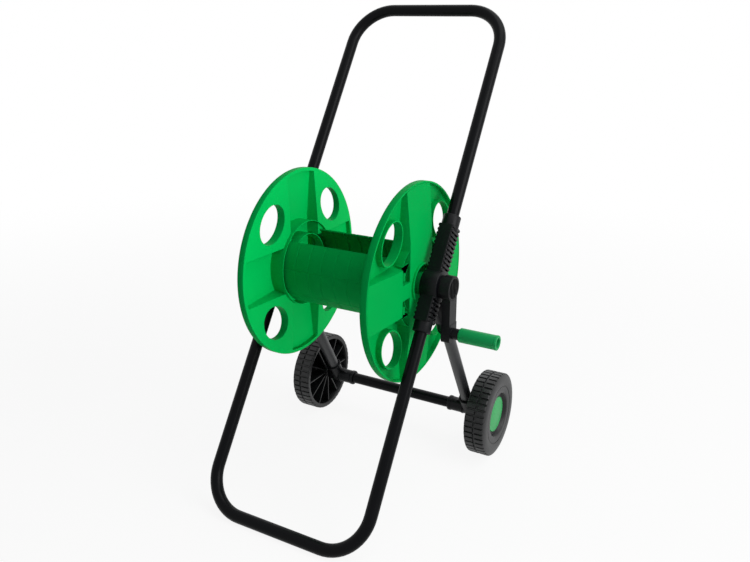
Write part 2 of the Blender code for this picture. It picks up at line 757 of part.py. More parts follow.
def make_crank_cap():
    """The round cap over the crank bolt, with a rim and upright ribs."""
    start = CRANK_FACE + CLEARANCE
    end = start + CAP_THICKNESS
    rim = CAP_THICKNESS / 2
    cap = turned(
        "crank_cap",
        [
            (start, 0),
            (start, CAP_RADIUS),
            (end + rim / 2, CAP_RADIUS),
            (end + rim, CAP_RADIUS - rim / 2),
            (end + rim, CAP_RADIUS - 2 * rim),
            (end, CAP_RADIUS - 2.5 * rim),
            (end, 0),
        ],
        HUB_SIDES,
    )
    plug = rod_x("plug", CRANK_FACE - CAP_THICKNESS, start + OVERLAP, CAP_PLUG_RADIUS, 16)
    parts = [plug]
    inside = CAP_RADIUS - 2 * rim
    pitch = 2 * inside / (CAP_RIBS + 1)
    for index in range(CAP_RIBS):
        y = (index + 1) * pitch - inside
        height = math.sqrt(inside**2 - y**2)
        low = (end - OVERLAP, y - rim / 2, -height)
        high = (end + rim * 0.8, y + rim / 2, height)
        parts.append(block("rib", low, high))
    return union(cap, *parts)


def make_bolt(name, head_start, head_end, head_radius, end, radius, sides):
    """A bolt along X, its head towards +X."""
    head = rod_x(name, head_start, head_end, head_radius, sides)
    return union(head, rod_x("shank", end, head_start + OVERLAP, radius, 16))


def make_ring(name, start, end, outer, inner):
    return pipe(name, straight((start, 0, 0), (end, 0, 0), Y_AXIS), outer, inner, 16)


def make_grip():
    """The hand grip, a tube with a rolled end and a wide mouth."""
    start = CRANK_OUTER + GRIP_BOSS_LENGTH + CLEARANCE
    end = start + GRIP_LENGTH
    bore = GRIP_PIN_RADIUS + CLEARANCE
    lip = GRIP_RADIUS * 0.12
    profile = [
        (start, bore),
        (start, GRIP_RADIUS - lip),
        (start + lip, GRIP_RADIUS),
        (end - 4 * lip, GRIP_RADIUS),
        (end - 3 * lip, GRIP_RADIUS + lip / 2),
        (end - lip, GRIP_RADIUS + lip / 2),
        (end, GRIP_RADIUS - lip / 2),
        (end, GRIP_MOUTH_RADIUS),
        (end - GRIP_MOUTH_DEPTH, GRIP_MOUTH_RADIUS),
        (end - GRIP_MOUTH_DEPTH, bore),
    ]
    return turned("crank_grip", profile, 20)


def wheel_tread():
    """The wheel's outer ring: two rows of lugs with a groove between them."""
    middle = WHEEL_WIDTH / 2
    groove = CENTRE_GROOVE / 2
    base = WHEEL_RADIUS - LUG_HEIGHT
    turn = math.tau / WHEEL_LUGS
    bm = bmesh.new()

    def circle(x, top):
        row = []
        for lug in range(WHEEL_LUGS):
            centre = lug * turn - math.pi / 2
            corners = ((-LUG_HALF_ANGLE, top), (LUG_HALF_ANGLE, top), (turn / 2, base))
            for offset, radius in corners:
                angle = centre + offset
                row.append(bm.verts.new((x, radius * math.cos(angle), radius * math.sin(angle))))
        return row

    outline = [
        (0, WHEEL_RADIUS),
        (middle - groove, WHEEL_RADIUS),
        (middle, base),
        (middle + groove, WHEEL_RADIUS),
        (WHEEL_WIDTH, WHEEL_RADIUS),
    ]
    circles = [circle(x, top) for x, top in outline]
    for first, second in zip(circles, circles[1:]):
        bridge(bm, first, second)
    bm.faces.new(circles[0])
    bm.faces.new(circles[-1])
    return object_from("right_wheel", bm)


def make_wheel():
    """The right wheel, its inner face at x = 0 before it is moved out."""
    wheel = wheel_tread()
    dish_floor = WHEEL_WIDTH - WHEEL_DISH_DEPTH
    bead = LUG_HEIGHT / 2
    seat = dish_floor - HUB_CAP_SEAT
    dish = turned(
        "dish",
        [
            (WHEEL_WIDTH + bead, 0),
            (WHEEL_WIDTH + bead, WHEEL_DISH_RADIUS + bead),
            (WHEEL_WIDTH - bead, WHEEL_DISH_RADIUS),
            (dish_floor, WHEEL_DISH_RADIUS - 2 * bead),
            (dish_floor, HUB_CAP_RADIUS + CLEARANCE),
            (seat, HUB_CAP_RADIUS + CLEARANCE),
            (seat, 0),
        ],
        WHEEL_SIDES,
    )
    cavity = turned(
        "cavity",
        [
            (-bead, 0),
            (-bead, WHEEL_CAVITY_RADIUS),
            (WHEEL_WEB_INNER, WHEEL_CAVITY_RADIUS - bead),
            (WHEEL_WEB_INNER, HUB_CAP_RADIUS + 3 * bead),
            (WHEEL_WEB_INNER - HUB_CAP_SEAT, HUB_CAP_RADIUS),
            (WHEEL_WEB_INNER - HUB_CAP_SEAT, 0),
        ],
        WHEEL_SIDES,
    )
    cut(wheel, dish, cavity)
    parts = [rod_x("hub", WHEEL_HUB_INNER, seat - OVERLAP, WHEEL_HUB_RADIUS, 16)]
    inset = 2 * bead
    reach = WHEEL_CAVITY_RADIUS + bead
    for index in range(WHEEL_SPOKES // 2):
        spoke = block(
            "spoke",
            (inset, -SPOKE_THICKNESS / 2, -reach),
            (WHEEL_WEB_INNER - HUB_CAP_SEAT + OVERLAP, SPOKE_THICKNESS / 2, reach),
        )
        spoke.data.transform(Matrix.Rotation(index * math.tau / WHEEL_SPOKES, 4, "X"))
        parts.append(spoke)
    union(wheel, *parts)
    cut(wheel, rod_x("bore", -WHEEL_WIDTH, 2 * WHEEL_WIDTH, AXLE_RADIUS + CLEARANCE, 16))
    return moved_out(wheel, WHEEL_INNER)


def make_hub_cap():
    """The domed hub cap, a thin shell that snaps into the wheel's dish."""
    seat = WHEEL_INNER + WHEEL_WIDTH - WHEEL_DISH_DEPTH - HUB_CAP_SEAT + CLEARANCE
    shoulder = seat + HUB_CAP_SEAT + HUB_CAP_WALL
    steps = 3
    outer = []
    inner = []
    for step in range(steps):
        share = step / steps
        drop = HUB_CAP_RISE * share**2
        outer.append((shoulder + HUB_CAP_RISE - drop, HUB_CAP_RADIUS * share))
        inner.append((shoulder + HUB_CAP_RISE - drop - HUB_CAP_WALL, HUB_CAP_RADIUS * share * 0.95))
    wall_radius = HUB_CAP_RADIUS - HUB_CAP_WALL
    edge = HUB_CAP_WALL / 3
    profile = [*outer, (shoulder, HUB_CAP_RADIUS - edge), (shoulder - edge, HUB_CAP_RADIUS)]
    profile += [(seat, HUB_CAP_RADIUS), (seat, wall_radius), (shoulder - HUB_CAP_WALL, wall_radius)]
    profile += reversed(inner)
    return turned("right_hub_cap", profile, WHEEL_SIDES)


def make_tee():
    """The right axle tee: a sleeve on the cross tube and a socket for the leg."""
    centre = Vector((LEG_X, 0, 0))
    turn = Matrix.Rotation(LEG_TILT, 3, "X")
    side = turn @ Y_AXIS

    def along_leg(name, start, end, radius):
        ends = [(centre + turn @ Vector((0, 0, s)), X_AXIS, side) for s in (start, end)]
        return pipe(name, ends, radius)

    tee = rod_x("right_axle_tee", TEE_INNER, TEE_OUTER, TEE_RADIUS, TUBE_SIDES)
    bead_start = TEE_SOCKET_REACH - TEE_SOCKET_BEAD_LENGTH
    gusset = [
        centre + turn @ Vector((0, 0, TEE_RADIUS / 2)),
        Vector((TEE_INNER + TEE_BEAD_LENGTH, 0, 0)) + turn @ Vector((0, 0, TEE_RADIUS / 2)),
        centre + turn @ Vector((-TEE_RADIUS / 2, 0, bead_start)),
    ]
    gusset = [point - side * (GUSSET_THICKNESS / 2) for point in gusset]
    union(
        tee,
        rod_x("bead", TEE_INNER, TEE_INNER + TEE_BEAD_LENGTH, TEE_BEAD_RADIUS, TUBE_SIDES),
        along_leg("socket", 0, TEE_SOCKET_REACH, TEE_RADIUS),
        along_leg("socket_bead", bead_start, TEE_SOCKET_REACH, TEE_BEAD_RADIUS),
        extruded("gusset", gusset, side * GUSSET_THICKNESS),
    )
    cross_end = CROSS_TUBE_HALF_LENGTH + CLEARANCE
    cut(
        tee,
        rod_x("cross_bore", 0, cross_end, BORE_RADIUS, TUBE_SIDES),
        along_leg("leg_bore", LEG_END_GAP - CLEARANCE, 2 * TEE_SOCKET_REACH, BORE_RADIUS),
        rod_x("axle_bore", 0, 2 * TEE_OUTER, AXLE_RADIUS + CLEARANCE, 16),
    )
    return tee


def build():
    for item in list(bpy.data.objects):
        bpy.data.objects.remove(item, do_unlink=True)

    green = make_material("green_plastic", (0.0, 0.42, 0.075), 0.34)
    black = make_material("black_plastic", (0.012, 0.013, 0.015), 0.45)
    paint = make_material("black_painted_steel", (0.010, 0.011, 0.013), 0.32, 0.2)
    steel = make_material("zinc_plated_steel", (0.55, 0.56, 0.58), 0.35, 1.0)

    frame = make_empty("frame_plane", (0, REEL_Y, REEL_Z), -FRAME_TILT)
    legs = make_empty("leg_plane", (0, REEL_Y, REEL_Z), LEG_TILT)
    axle = make_empty("axle_line", (0, AXLE_Y, AXLE_Z))
    reel = make_empty("reel_axis", (0, REEL_Y, REEL_Z))
    grip_axis = make_empty("grip_axis", (0, 0, -CRANK_RADIUS), parent=reel)

    # Tubes of the leaning loop, their brackets and the screws between them
    inner = TUBE_RADIUS - TUBE_WALL
    stations = frame_stations(HANDLE_REACH, HANDLE_BEND_RADIUS, TUBE_STOP, True)
    handle = pipe("handle_tube", stations, TUBE_RADIUS, inner, phase=FRAME_TILT)
    stations = frame_stations(FOOT_REACH, FOOT_BEND_RADIUS, TUBE_STOP, False)
    foot = pipe("foot_tube", stations, TUBE_RADIUS, inner, phase=FRAME_TILT)
    bracket = make_bracket()
    collar = UPPER_SLEEVE_REACH - UPPER_COLLAR_LENGTH / 2
    frame_screws = [*screw_pair("handle_screw", handle, bracket, FRAME_HALF_WIDTH, collar)]
    collar = LOWER_COLLAR_LENGTH / 2 - LOWER_SLEEVE_REACH
    frame_screws += screw_pair("foot_screw", foot, bracket, FRAME_HALF_WIDTH, collar)

    # Rear legs, their sockets at both ends and the cross tube
    leg_ends = (-TUBE_STOP, LEG_END_GAP - LEG_LENGTH)
    leg_run = [(Vector((LEG_X, 0, z)), X_AXIS, Y_AXIS) for z in leg_ends]
    leg = pipe("right_leg_tube", leg_run, TUBE_RADIUS, inner)
    tee = make_tee()
    to_frame = Matrix.Rotation(FRAME_TILT + LEG_TILT, 4, "X")
    to_axle = Matrix.Rotation(LEG_TILT, 4, "X") @ Matrix.Translation((0, 0, LEG_LENGTH))
    top = SCREW_SEAT - LEG_SOCKET_REACH
    foot_end = TEE_SOCKET_REACH - TEE_SOCKET_BEAD_LENGTH - SCREW_HEAD_RADIUS - OVERLAP - LEG_LENGTH
    leg_screws = [*screw_pair("leg_top_screw", leg, bracket, LEG_X, top, to_frame)]
    leg_screws += screw_pair("leg_foot_screw", leg, tee, LEG_X, foot_end, to_axle)
    half = CROSS_TUBE_HALF_LENGTH
    cross = pipe("cross_tube", straight((-half, 0, 0), (half, 0, 0), Y_AXIS), TUBE_RADIUS, inner)
    screw_x = TEE_INNER + TEE_BEAD_LENGTH + 2 * SCREW_HEAD_RADIUS
    cross_screws = screw_pair("cross_tube_screw", cross, tee, screw_x, 0)

    brackets = [bracket, mirrored("left_bracket", bracket)]
    leg_tubes = [leg, mirrored("left_leg_tube", leg)]
    tees = [tee, mirrored("left_axle_tee", tee)]
    for pieces, look, parent in (
        ([handle, foot], paint, frame),
        (brackets, black, frame),
        (frame_screws, steel, frame),
        (leg_tubes, paint, legs),
        (leg_screws, steel, legs),
        ([cross], paint, axle),
        (cross_screws, steel, axle),
        (tees, black, axle),
    ):
        for piece in pieces:
            place(piece, look, parent)

    # Wheels, hub caps and axle
    nut_seat = WHEEL_INNER + WHEEL_WIDTH - WHEEL_DISH_DEPTH - HUB_CAP_SEAT + CLEARANCE
    axle_end = nut_seat + 2 * PUSH_NUT_THICKNESS
    place(rod_x("wheel_axle", -axle_end, axle_end, AXLE_RADIUS, 16), steel, axle)
    nut_end = nut_seat + PUSH_NUT_THICKNESS
    nut = make_ring("right_push_nut", nut_seat, nut_end, PUSH_NUT_RADIUS, AXLE_RADIUS + CLEARANCE)
    washer_start = TEE_OUTER + CLEARANCE
    washer_end = WHEEL_INNER + WHEEL_HUB_INNER - CLEARANCE
    bore = AXLE_RADIUS + CLEARANCE
    washer = make_ring("right_axle_washer", washer_start, washer_end, WHEEL_HUB_RADIUS, bore)
    wheel = make_wheel()
    hub_cap = make_hub_cap()
    for piece, look in ((nut, steel), (washer, steel), (wheel, black), (hub_cap, green)):
        twin = mirrored(piece.name.replace("right", "left"), piece)
        place(piece, look, axle)
        place(twin, look, axle)

    # Reel
    right_flange = make_flange("right_flange", True)
    left_flange = flipped("left_flange", make_flange("round_flange", False))
    front_shell = make_shell("front_drum_shell")
    rear_shell = half_turned("rear_drum_shell", front_shell)
    for piece in (right_flange, left_flange, front_shell, rear_shell):
        place(piece, green, reel)

    # Left pivot: a headed pin through the bracket, held by a washer and a screw
    head_inner = FRAME_HALF_WIDTH + BOSS_OUTER + CLEARANCE
    pin_end = FLANGE_INNER + HUB_TUBE_INNER - CLEARANCE
    pin = turned(
        "pin",
        [
            (pin_end, 0),
            (pin_end, REEL_SHAFT_RADIUS),
            (head_inner, REEL_SHAFT_RADIUS),
            (head_inner, CAP_RADIUS),
            (head_inner + CAP_THICKNESS, CAP_RADIUS),
            (head_inner + 2 * CAP_THICKNESS, CAP_RADIUS - CAP_THICKNESS),
            (head_inner + 2 * CAP_THICKNESS, 0),
        ],
        HUB_SIDES,
    )
    screw_end = pin_end + REEL_SHAFT_RADIUS
    cut(pin, rod_x("pilot", 0, screw_end, BOLT_RADIUS, 12))
    washer_end = pin_end - CLEARANCE
    washer_start = washer_end - WASHER_THICKNESS
    washer = make_ring("washer", washer_start, washer_end, HUB_TUBE_RADIUS, BOLT_RADIUS)
    head_end = washer_start - CLEARANCE
    screw = union(
        rod_x("screw", head_end - BOLT_HEAD_HEIGHT, head_end, BOLT_HEAD_RADIUS, 16),
        rod_x("shank", head_end - OVERLAP, screw_end - CLEARANCE, BOLT_RADIUS - CLEARANCE, 12),
    )
    place(flipped("left_pivot_pin", pin), black, reel)
    place(flipped("pivot_washer", washer), steel, reel)
    place(flipped("pivot_screw", screw), steel, reel)

    # Crank, its bolt with washer and nut, its cap and its grip
    place(make_crank(), black, reel)
    place(make_crank_cap(), black, reel)
    head_start = CRANK_FACE - 2 * CRANK_WALL
    head_end = CRANK_FACE - CAP_THICKNESS - CLEARANCE
    washer_end = FLANGE_INNER + HUB_TUBE_INNER - CLEARANCE
    washer_start = washer_end - WASHER_THICKNESS
    nut_end = washer_start - CLEARANCE
    bolt_end = nut_end - NUT_HEIGHT - BOLT_RADIUS
    bolt = make_bolt(
        "crank_bolt", head_start, head_end, BOLT_HEAD_RADIUS, bolt_end, BOLT_RADIUS, 6
    )
    bolt_hole = BOLT_RADIUS + CLEARANCE
    crank_washer = make_ring("crank_washer", washer_start, washer_end, HUB_TUBE_RADIUS, bolt_hole)
    crank_nut = rod_x("crank_nut", nut_end - NUT_HEIGHT, nut_end, NUT_RADIUS, 6)
    cut(crank_nut, rod_x("thread", 0, CRANK_INNER, bolt_hole, 16))
    for piece in (bolt, crank_washer, crank_nut):
        place(piece, steel, reel)
    grip_start = CRANK_OUTER + GRIP_BOSS_LENGTH + CLEARANCE
    pin_seat = grip_start + GRIP_LENGTH - GRIP_MOUTH_DEPTH + CLEARANCE
    pin_head = pin_seat + GRIP_PIN_HEAD_LENGTH
    pin_end = CRANK_INNER + CRANK_WALL + CLEARANCE
    grip_pin = make_bolt(
        "grip_pin", pin_seat, pin_head, GRIP_PIN_HEAD_RADIUS, pin_end, GRIP_PIN_RADIUS, 16
    )
    place(make_grip(), green, grip_axis)
    place(grip_pin, steel, grip_axis)


build()
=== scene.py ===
"""Looks of the garden hose reel cart: camera, light, materials and the detailed pieces."""

import json
import math

import bmesh
import bpy
from mathutils import Matrix, Vector


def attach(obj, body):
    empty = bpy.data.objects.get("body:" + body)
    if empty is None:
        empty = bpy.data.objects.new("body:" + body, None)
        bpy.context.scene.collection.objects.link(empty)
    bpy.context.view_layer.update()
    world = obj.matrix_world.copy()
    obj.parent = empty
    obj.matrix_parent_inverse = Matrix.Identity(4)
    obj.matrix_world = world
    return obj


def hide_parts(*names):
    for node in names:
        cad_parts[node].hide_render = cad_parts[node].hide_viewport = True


# Camera, in the place that the photograph's perspective gives
CAMERA_PLACE = (0.6306, -0.8033, 0.7637)
CAMERA_TURN = (29.139, -17.068, 0.244)
CAMERA_SENSOR = 36.0
CAMERA_LENS = 37.255
CAMERA_SHIFT = (-0.0117, -0.0353)
CAMERA_NEAR = 0.05

# Lamps as name, place, size, power and the only piece to light, all turned to one point
LAMP_TARGET = Vector((0, 0.2, 0.35))
LAMPS = (
    ("key", (2.3, 0.1, 1.4), 1.6, 33, None),
    ("left_side", (2.6, 0.2, 0.5), 1.6, 62, "left_flange_moulding"),
    ("right_side", (2.6, 0.2, 0.5), 1.6, 15, "right_flange_moulding"),
    ("top", (0.9, 0.5, 2.7), 1.8, 24, None),
    ("back", (-0.8, 2.4, 1.9), 1.8, 8, None),
)

# Floor and background
WHITE = (1, 1, 1, 1)
FLOOR_HALF_SIZE = 30
FLOOR_COLOUR = (0.92, 0.92, 0.92, 1)
FLOOR_GLOW = 0.9
FLOOR_FADE_START = 0.7
FLOOR_FADE_END = 2.6
WORLD_LIGHT = 0.17

# Surface of the materials
TINT_SCALE = 14
GLOSS_SPREAD = 0.14
BUMP_STRENGTH = 0.35

# Number of sides of round shapes
ROD_SIDES = 48
COLLAR_SIDES = 64
HUB_SIDES = 96
FLANGE_SIDES = 160
HOLE_SIDES = 64
SCREW_SIDES = 32

# Angles in degrees over which an edge stays sharp
EDGE_ANGLE = 30
WHEEL_ANGLE = 32
TURNED_ANGLE = 40
NODE_ANGLE = 28

# Limits, gaps, fine steps and rounded edges, in metres like all the sizes below
MERGE_DISTANCE = 2e-6
AXIS_LIMIT = 1e-7
CLEARANCE = 0.0003
OVERLAP = 0.0006
FINE_STEP = 0.0002
SOFT_EDGE = 0.0004
FLANGE_EDGE = 0.0005
CAP_EDGE = 0.0006
RIM_EDGE = 0.0009
TEE_EDGE = 0.0010
COLLAR_EDGE = 0.0012
GRIP_EDGE = 0.0013
BOSS_EDGE = 0.0014

# Frame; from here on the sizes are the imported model's, apart from forms refined here
TUBE_RADIUS = 0.010
FRAME_TILT = math.radians(33.2)
FRAME_HALF_WIDTH = 0.143
HANDLE_REACH = 0.490
HANDLE_BEND = 0.0675
FOOT_REACH = 0.423
FOOT_BEND = 0.066
TUBE_STOP = 0.033

# Brackets
SLEEVE_RADIUS = 0.0143
SLEEVE_CORE_RADIUS = 0.0109
UPPER_REACH = 0.116
UPPER_COLLAR = 0.018
LOWER_REACH = 0.0765
LOWER_COLLAR = 0.0165
LEG_SOCKET_REACH = 0.105
BOSS_RADIUS = 0.025
BOSS_INNER = 0.0140
BOSS_OUTER = 0.0150
RIB_HALF_WIDTH = 0.0134
RIB_FRONT = 0.0150
RIB_BACK = 0.0155
RIB_EDGE = 0.0010
RIB_CORNER = 0.0022
LEG_LIP = 0.006
RIB_THICKNESS = 0.0040
RIB_PITCH = 0.0072
FRONT_WALL = 0.0034
FRONT_HALF_WIDTH = 0.0112
WEB_THICKNESS = 0.0060
WEB_REACH = 0.097

# Reel
SHAFT_RADIUS = 0.012
FLANGE_RADIUS = 0.160
FLANGE_INNER = FRAME_HALF_WIDTH - 0.0393
RIM_WIDTH = 0.0115
RIM_THICKNESS = 0.0032
FLANGE_WALL = 0.0026
HOLE_LENGTH = 0.0345
HOLE_BREADTH = 0.0268
HOLE_DISTANCE = 0.118
COLLAR_WALL = 0.0024
ARM_FOOT_HALF_WIDTH = 0.0420
ARM_TOP_HALF_WIDTH = 0.0372
ARM_RISE = 0.0172
HUB_RISE = 0.020
DISH_RISE = 0.0055
DISH_REACH = 0.074
ARM_FLAT_REACH = 0.074
CUP_RADIUS = 0.033
CUP_INNER = 0.008
RECESS_RADIUS = 0.030
RECESS_FLOOR = 0.013
HUB_TUBE_RADIUS = 0.020
HUB_TUBE_INNER = -0.002
HUB_FACE_RADIUS = 0.018
LOCATING_RINGS = (0.0722, 0.050)
LOCATING_WALL = 0.0012
LOCATING_HEIGHT = 0.0108
DRIVE_HALF_WIDTH = 0.0085
DRUM_RADIUS = 0.066
DRUM_WALL = 0.0026
SHELL_CENTRE = math.radians(195)
SHELL_HALF_SPAN = math.radians(62)
SHELL_COLUMNS = 8
SHELL_ROWS = 3
GROOVE_WIDTH = 0.0024
GROOVE_DEPTH = 0.0005
GROOVE_FLAT = 0.22
PANEL_RIB_HEIGHT = 0.0016
TONGUE_HALF_WIDTH = 0.033
TAB_HEIGHT = 0.027
TAB_HALF_WIDTH = 0.0062
WINDOW_HALF_HEIGHT = 0.0145
WINDOW_DEPTH = 0.023
POCKET_DEPTH = 0.010
TAB_THICKNESS = 0.0022
HOOK_DEPTH = 0.0016
HOOK_LENGTH = 0.0022

# Crank and grip
CRANK_RADIUS = 0.074
CRANK_INNER = FRAME_HALF_WIDTH + 0.0205
CRANK_THICKNESS = 0.0138
CRANK_HUB_RADIUS = 0.020
CRANK_OUTER = CRANK_INNER + CRANK_THICKNESS
CRANK_HALF_WIDTH = 0.0128
BLOCK_HALF_WIDTH = 0.0134
BLOCK_TOP = 0.058
BLOCK_PROUD = 0.0006
CRANK_END = 0.088
CRANK_CORNER = 0.006
CRANK_WALL = 0.0026
CAP_RADIUS = 0.0182
CAP_THICKNESS = 0.0020
CRANK_FACE = CRANK_OUTER - 1.5 * CAP_THICKNESS - CLEARANCE
CAP_RIBS = 5
PLUG_RADIUS = 0.0105
BOLT_RADIUS = 0.003
GRIP_RADIUS = 0.0115
GRIP_LENGTH = 0.063
GRIP_BOSS_RADIUS = 0.0090
GRIP_BOSS_LENGTH = 0.0127
GRIP_PIN_RADIUS = 0.004
MOUTH_RADIUS = 0.0076
MOUTH_DEPTH = 0.030

# Wheels, tees and axle
AXLE_SETBACK = 0.165
WHEEL_RADIUS = 0.0755
WHEEL_INNER = FRAME_HALF_WIDTH + 0.021
WHEEL_WIDTH = 0.037
WHEEL_LUGS = 44
LUG_SHARE = 0.70
LUG_CORNER = 0.07
LUG_FLANK = 0.09
LUG_SHOULDER = 0.80
LUG_HEIGHT = 0.0024
CENTRE_GROOVE = 0.0044
RING_LINE_RADIUS = 0.0527
SIDE_BULGE = 0.0010
SIDE_DROP = 0.0012
CAVITY_RADIUS = 0.0665
WEB_INNER = 0.026
DISH_RADIUS = 0.040
DISH_DEPTH = 0.0075
WHEEL_HUB_RADIUS = 0.011
WHEEL_HUB_INNER = -0.0015
WHEEL_SPOKES = 12
SPOKE_THICKNESS = 0.002
HUB_CAP_RADIUS = 0.032
HUB_CAP_RISE = 0.0018
HUB_CAP_WALL = 0.0018
HUB_CAP_SEAT = 0.0010
AXLE_RADIUS = 0.004
TEE_RADIUS = 0.0128
TEE_BEAD_RADIUS = 0.0137
TEE_BEAD = 0.007
TEE_SOCKET_BEAD = 0.004
TEE_INNER = FRAME_HALF_WIDTH - 0.040
TEE_OUTER = FRAME_HALF_WIDTH + 0.0176
TEE_REACH = 0.032
LEG_END_GAP = 0.0145
CROSS_HALF = FRAME_HALF_WIDTH - 0.004
GUSSET_THICKNESS = 0.003

# Screws
SCREW_RADIUS = 0.0017
SCREW_HEAD_RADIUS = 0.0032
SCREW_HEAD_HEIGHT = 0.0018
SCREW_TIP = 0.0045
SCREW_SEAT = 0.0118

# Worked out from the sizes above
REEL_Y = FOOT_REACH * math.sin(FRAME_TILT)
REEL_Z = FOOT_REACH * math.cos(FRAME_TILT) + TUBE_RADIUS * math.cos(math.pi / 12)
AXLE_Y = REEL_Y + AXLE_SETBACK
AXLE_Z = WHEEL_RADIUS * math.cos(LUG_SHARE * math.pi / WHEEL_LUGS)
LEG_LENGTH = math.hypot(AXLE_SETBACK, REEL_Z - AXLE_Z)
LEG_TILT = math.atan2(AXLE_SETBACK, REEL_Z - AXLE_Z)
BORE_RADIUS = TUBE_RADIUS + CLEARANCE
ARM_FLOOR = ARM_RISE - FLANGE_WALL
HUB_FACE = FRAME_HALF_WIDTH - BOSS_INNER - CLEARANCE - FLANGE_INNER
HOLE_STEP = HOLE_DISTANCE / math.sqrt(2)
HOLE_CENTRES = [(y, z) for y in (-HOLE_STEP, HOLE_STEP) for z in (-HOLE_STEP, HOLE_STEP)]
TAB_DISTANCE = math.sqrt((DRUM_RADIUS - DRUM_WALL / 2) ** 2 - TAB_HEIGHT**2)

X_AXIS = Vector((1, 0, 0))
Y_AXIS = Vector((0, 1, 0))
Z_AXIS = Vector((0, 0, 1))
AT_REEL = Matrix.Translation((0, REEL_Y, REEL_Z))
AT_FRAME = AT_REEL @ Matrix.Rotation(-FRAME_TILT, 4, "X")
AT_LEGS = AT_REEL @ Matrix.Rotation(LEG_TILT, 4, "X")
AT_AXLE = Matrix.Translation((0, AXLE_Y, AXLE_Z))
AT_GRIP = AT_REEL @ Matrix.Translation((0, 0, -CRANK_RADIUS))

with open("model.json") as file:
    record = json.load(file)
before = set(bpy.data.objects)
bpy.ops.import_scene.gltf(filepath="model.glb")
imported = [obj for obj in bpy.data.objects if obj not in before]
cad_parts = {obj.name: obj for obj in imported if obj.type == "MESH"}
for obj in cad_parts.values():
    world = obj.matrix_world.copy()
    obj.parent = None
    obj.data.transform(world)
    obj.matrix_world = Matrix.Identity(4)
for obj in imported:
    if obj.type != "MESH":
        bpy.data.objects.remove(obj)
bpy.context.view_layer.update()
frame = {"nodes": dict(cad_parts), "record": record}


# Camera, floor and light


def set_up_camera():
    yaw, pitch, roll = (math.radians(angle) for angle in CAMERA_TURN)
    forward = Vector((-math.sin(yaw) * math.cos(pitch), math.cos(yaw) * math.cos(pitch), math.sin(pitch)))
    right = forward.cross(Z_AXIS).normalized()
    up = right.cross(forward)
    side = math.cos(roll) * right + math.sin(roll) * up
    top = math.cos(roll) * up - math.sin(roll) * right
    data = bpy.data.cameras.new("camera")
    data.sensor_width = CAMERA_SENSOR
    data.lens = CAMERA_LENS
    data.shift_x, data.shift_y = CAMERA_SHIFT
    data.clip_start = CAMERA_NEAR
    camera = bpy.data.objects.new("camera", data)
    turn = Matrix((side, top, -forward)).transposed().to_4x4()
    camera.matrix_world = Matrix.Translation(CAMERA_PLACE) @ turn
    bpy.context.collection.objects.link(camera)
    bpy.context.scene.camera = camera


def add_lamp(name, place, size, power, lit_piece):
    """An area lamp, which casts no shadow if it lights one piece alone."""
    data = bpy.data.lights.new(name, "AREA")
    data.size = size
    data.energy = power
    data.use_shadow = lit_piece is None
    lamp = bpy.data.objects.new(name, data)
    lamp.location = place
    lamp.rotation_euler = (LAMP_TARGET - lamp.location).to_track_quat("-Z", "Y").to_euler()
    bpy.context.collection.objects.link(lamp)
    if lit_piece:
        lit = bpy.data.collections.new(f"lit_by_{name}")
        lit.objects.link(bpy.data.objects[lit_piece])
        lamp.light_linking.receiver_collection = lit


def set_up_light():
    for lamp in LAMPS:
        add_lamp(*lamp)
    world = bpy.data.worlds.new("studio")
    bpy.context.scene.world = world
    world.use_nodes = True
    tree = world.node_tree
    tree.nodes.clear()
    light = add_node(tree, "ShaderNodeBackground", Color=WHITE, Strength=WORLD_LIGHT)
    seen = add_node(tree, "ShaderNodeBackground", Color=WHITE, Strength=1.0)
    finish_with_mix(tree, "ShaderNodeOutputWorld", seen_directly(tree), light, seen)
    bpy.context.scene.view_settings.view_transform = "Standard"


def add_node(tree, kind, **values):
    """A new node with the named inputs set, an underscore standing for a space."""
    node = tree.nodes.new(kind)
    for name, value in values.items():
        node.inputs[name.replace("_", " ")].default_value = value
    return node


def finish_with_mix(tree, kind, share, first, second):
    """Gives the output node of this kind a mix of two shader nodes."""
    mix = tree.nodes.new("ShaderNodeMixShader")
    for index, socket in enumerate((share, first.outputs[0], second.outputs[0])):
        tree.links.new(socket, mix.inputs[index])
    tree.links.new(mix.outputs[0], tree.nodes.new(kind).inputs["Surface"])


def math_node(tree, operation, first, second):
    node = tree.nodes.new("ShaderNodeMath")
    node.operation = operation
    tree.links.new(first, node.inputs[0])
    tree.links.new(second, node.inputs[1])
    return node.outputs["Value"]


def seen_directly(tree):
    """One for camera, glossy and transmission rays, nought for the light that falls on things."""
    path = tree.nodes.new("ShaderNodeLightPath")
    both = math_node(tree, "MAXIMUM", path.outputs["Is Camera Ray"], path.outputs["Is Glossy Ray"])
    return math_node(tree, "MAXIMUM", both, path.outputs["Is Transmission Ray"])


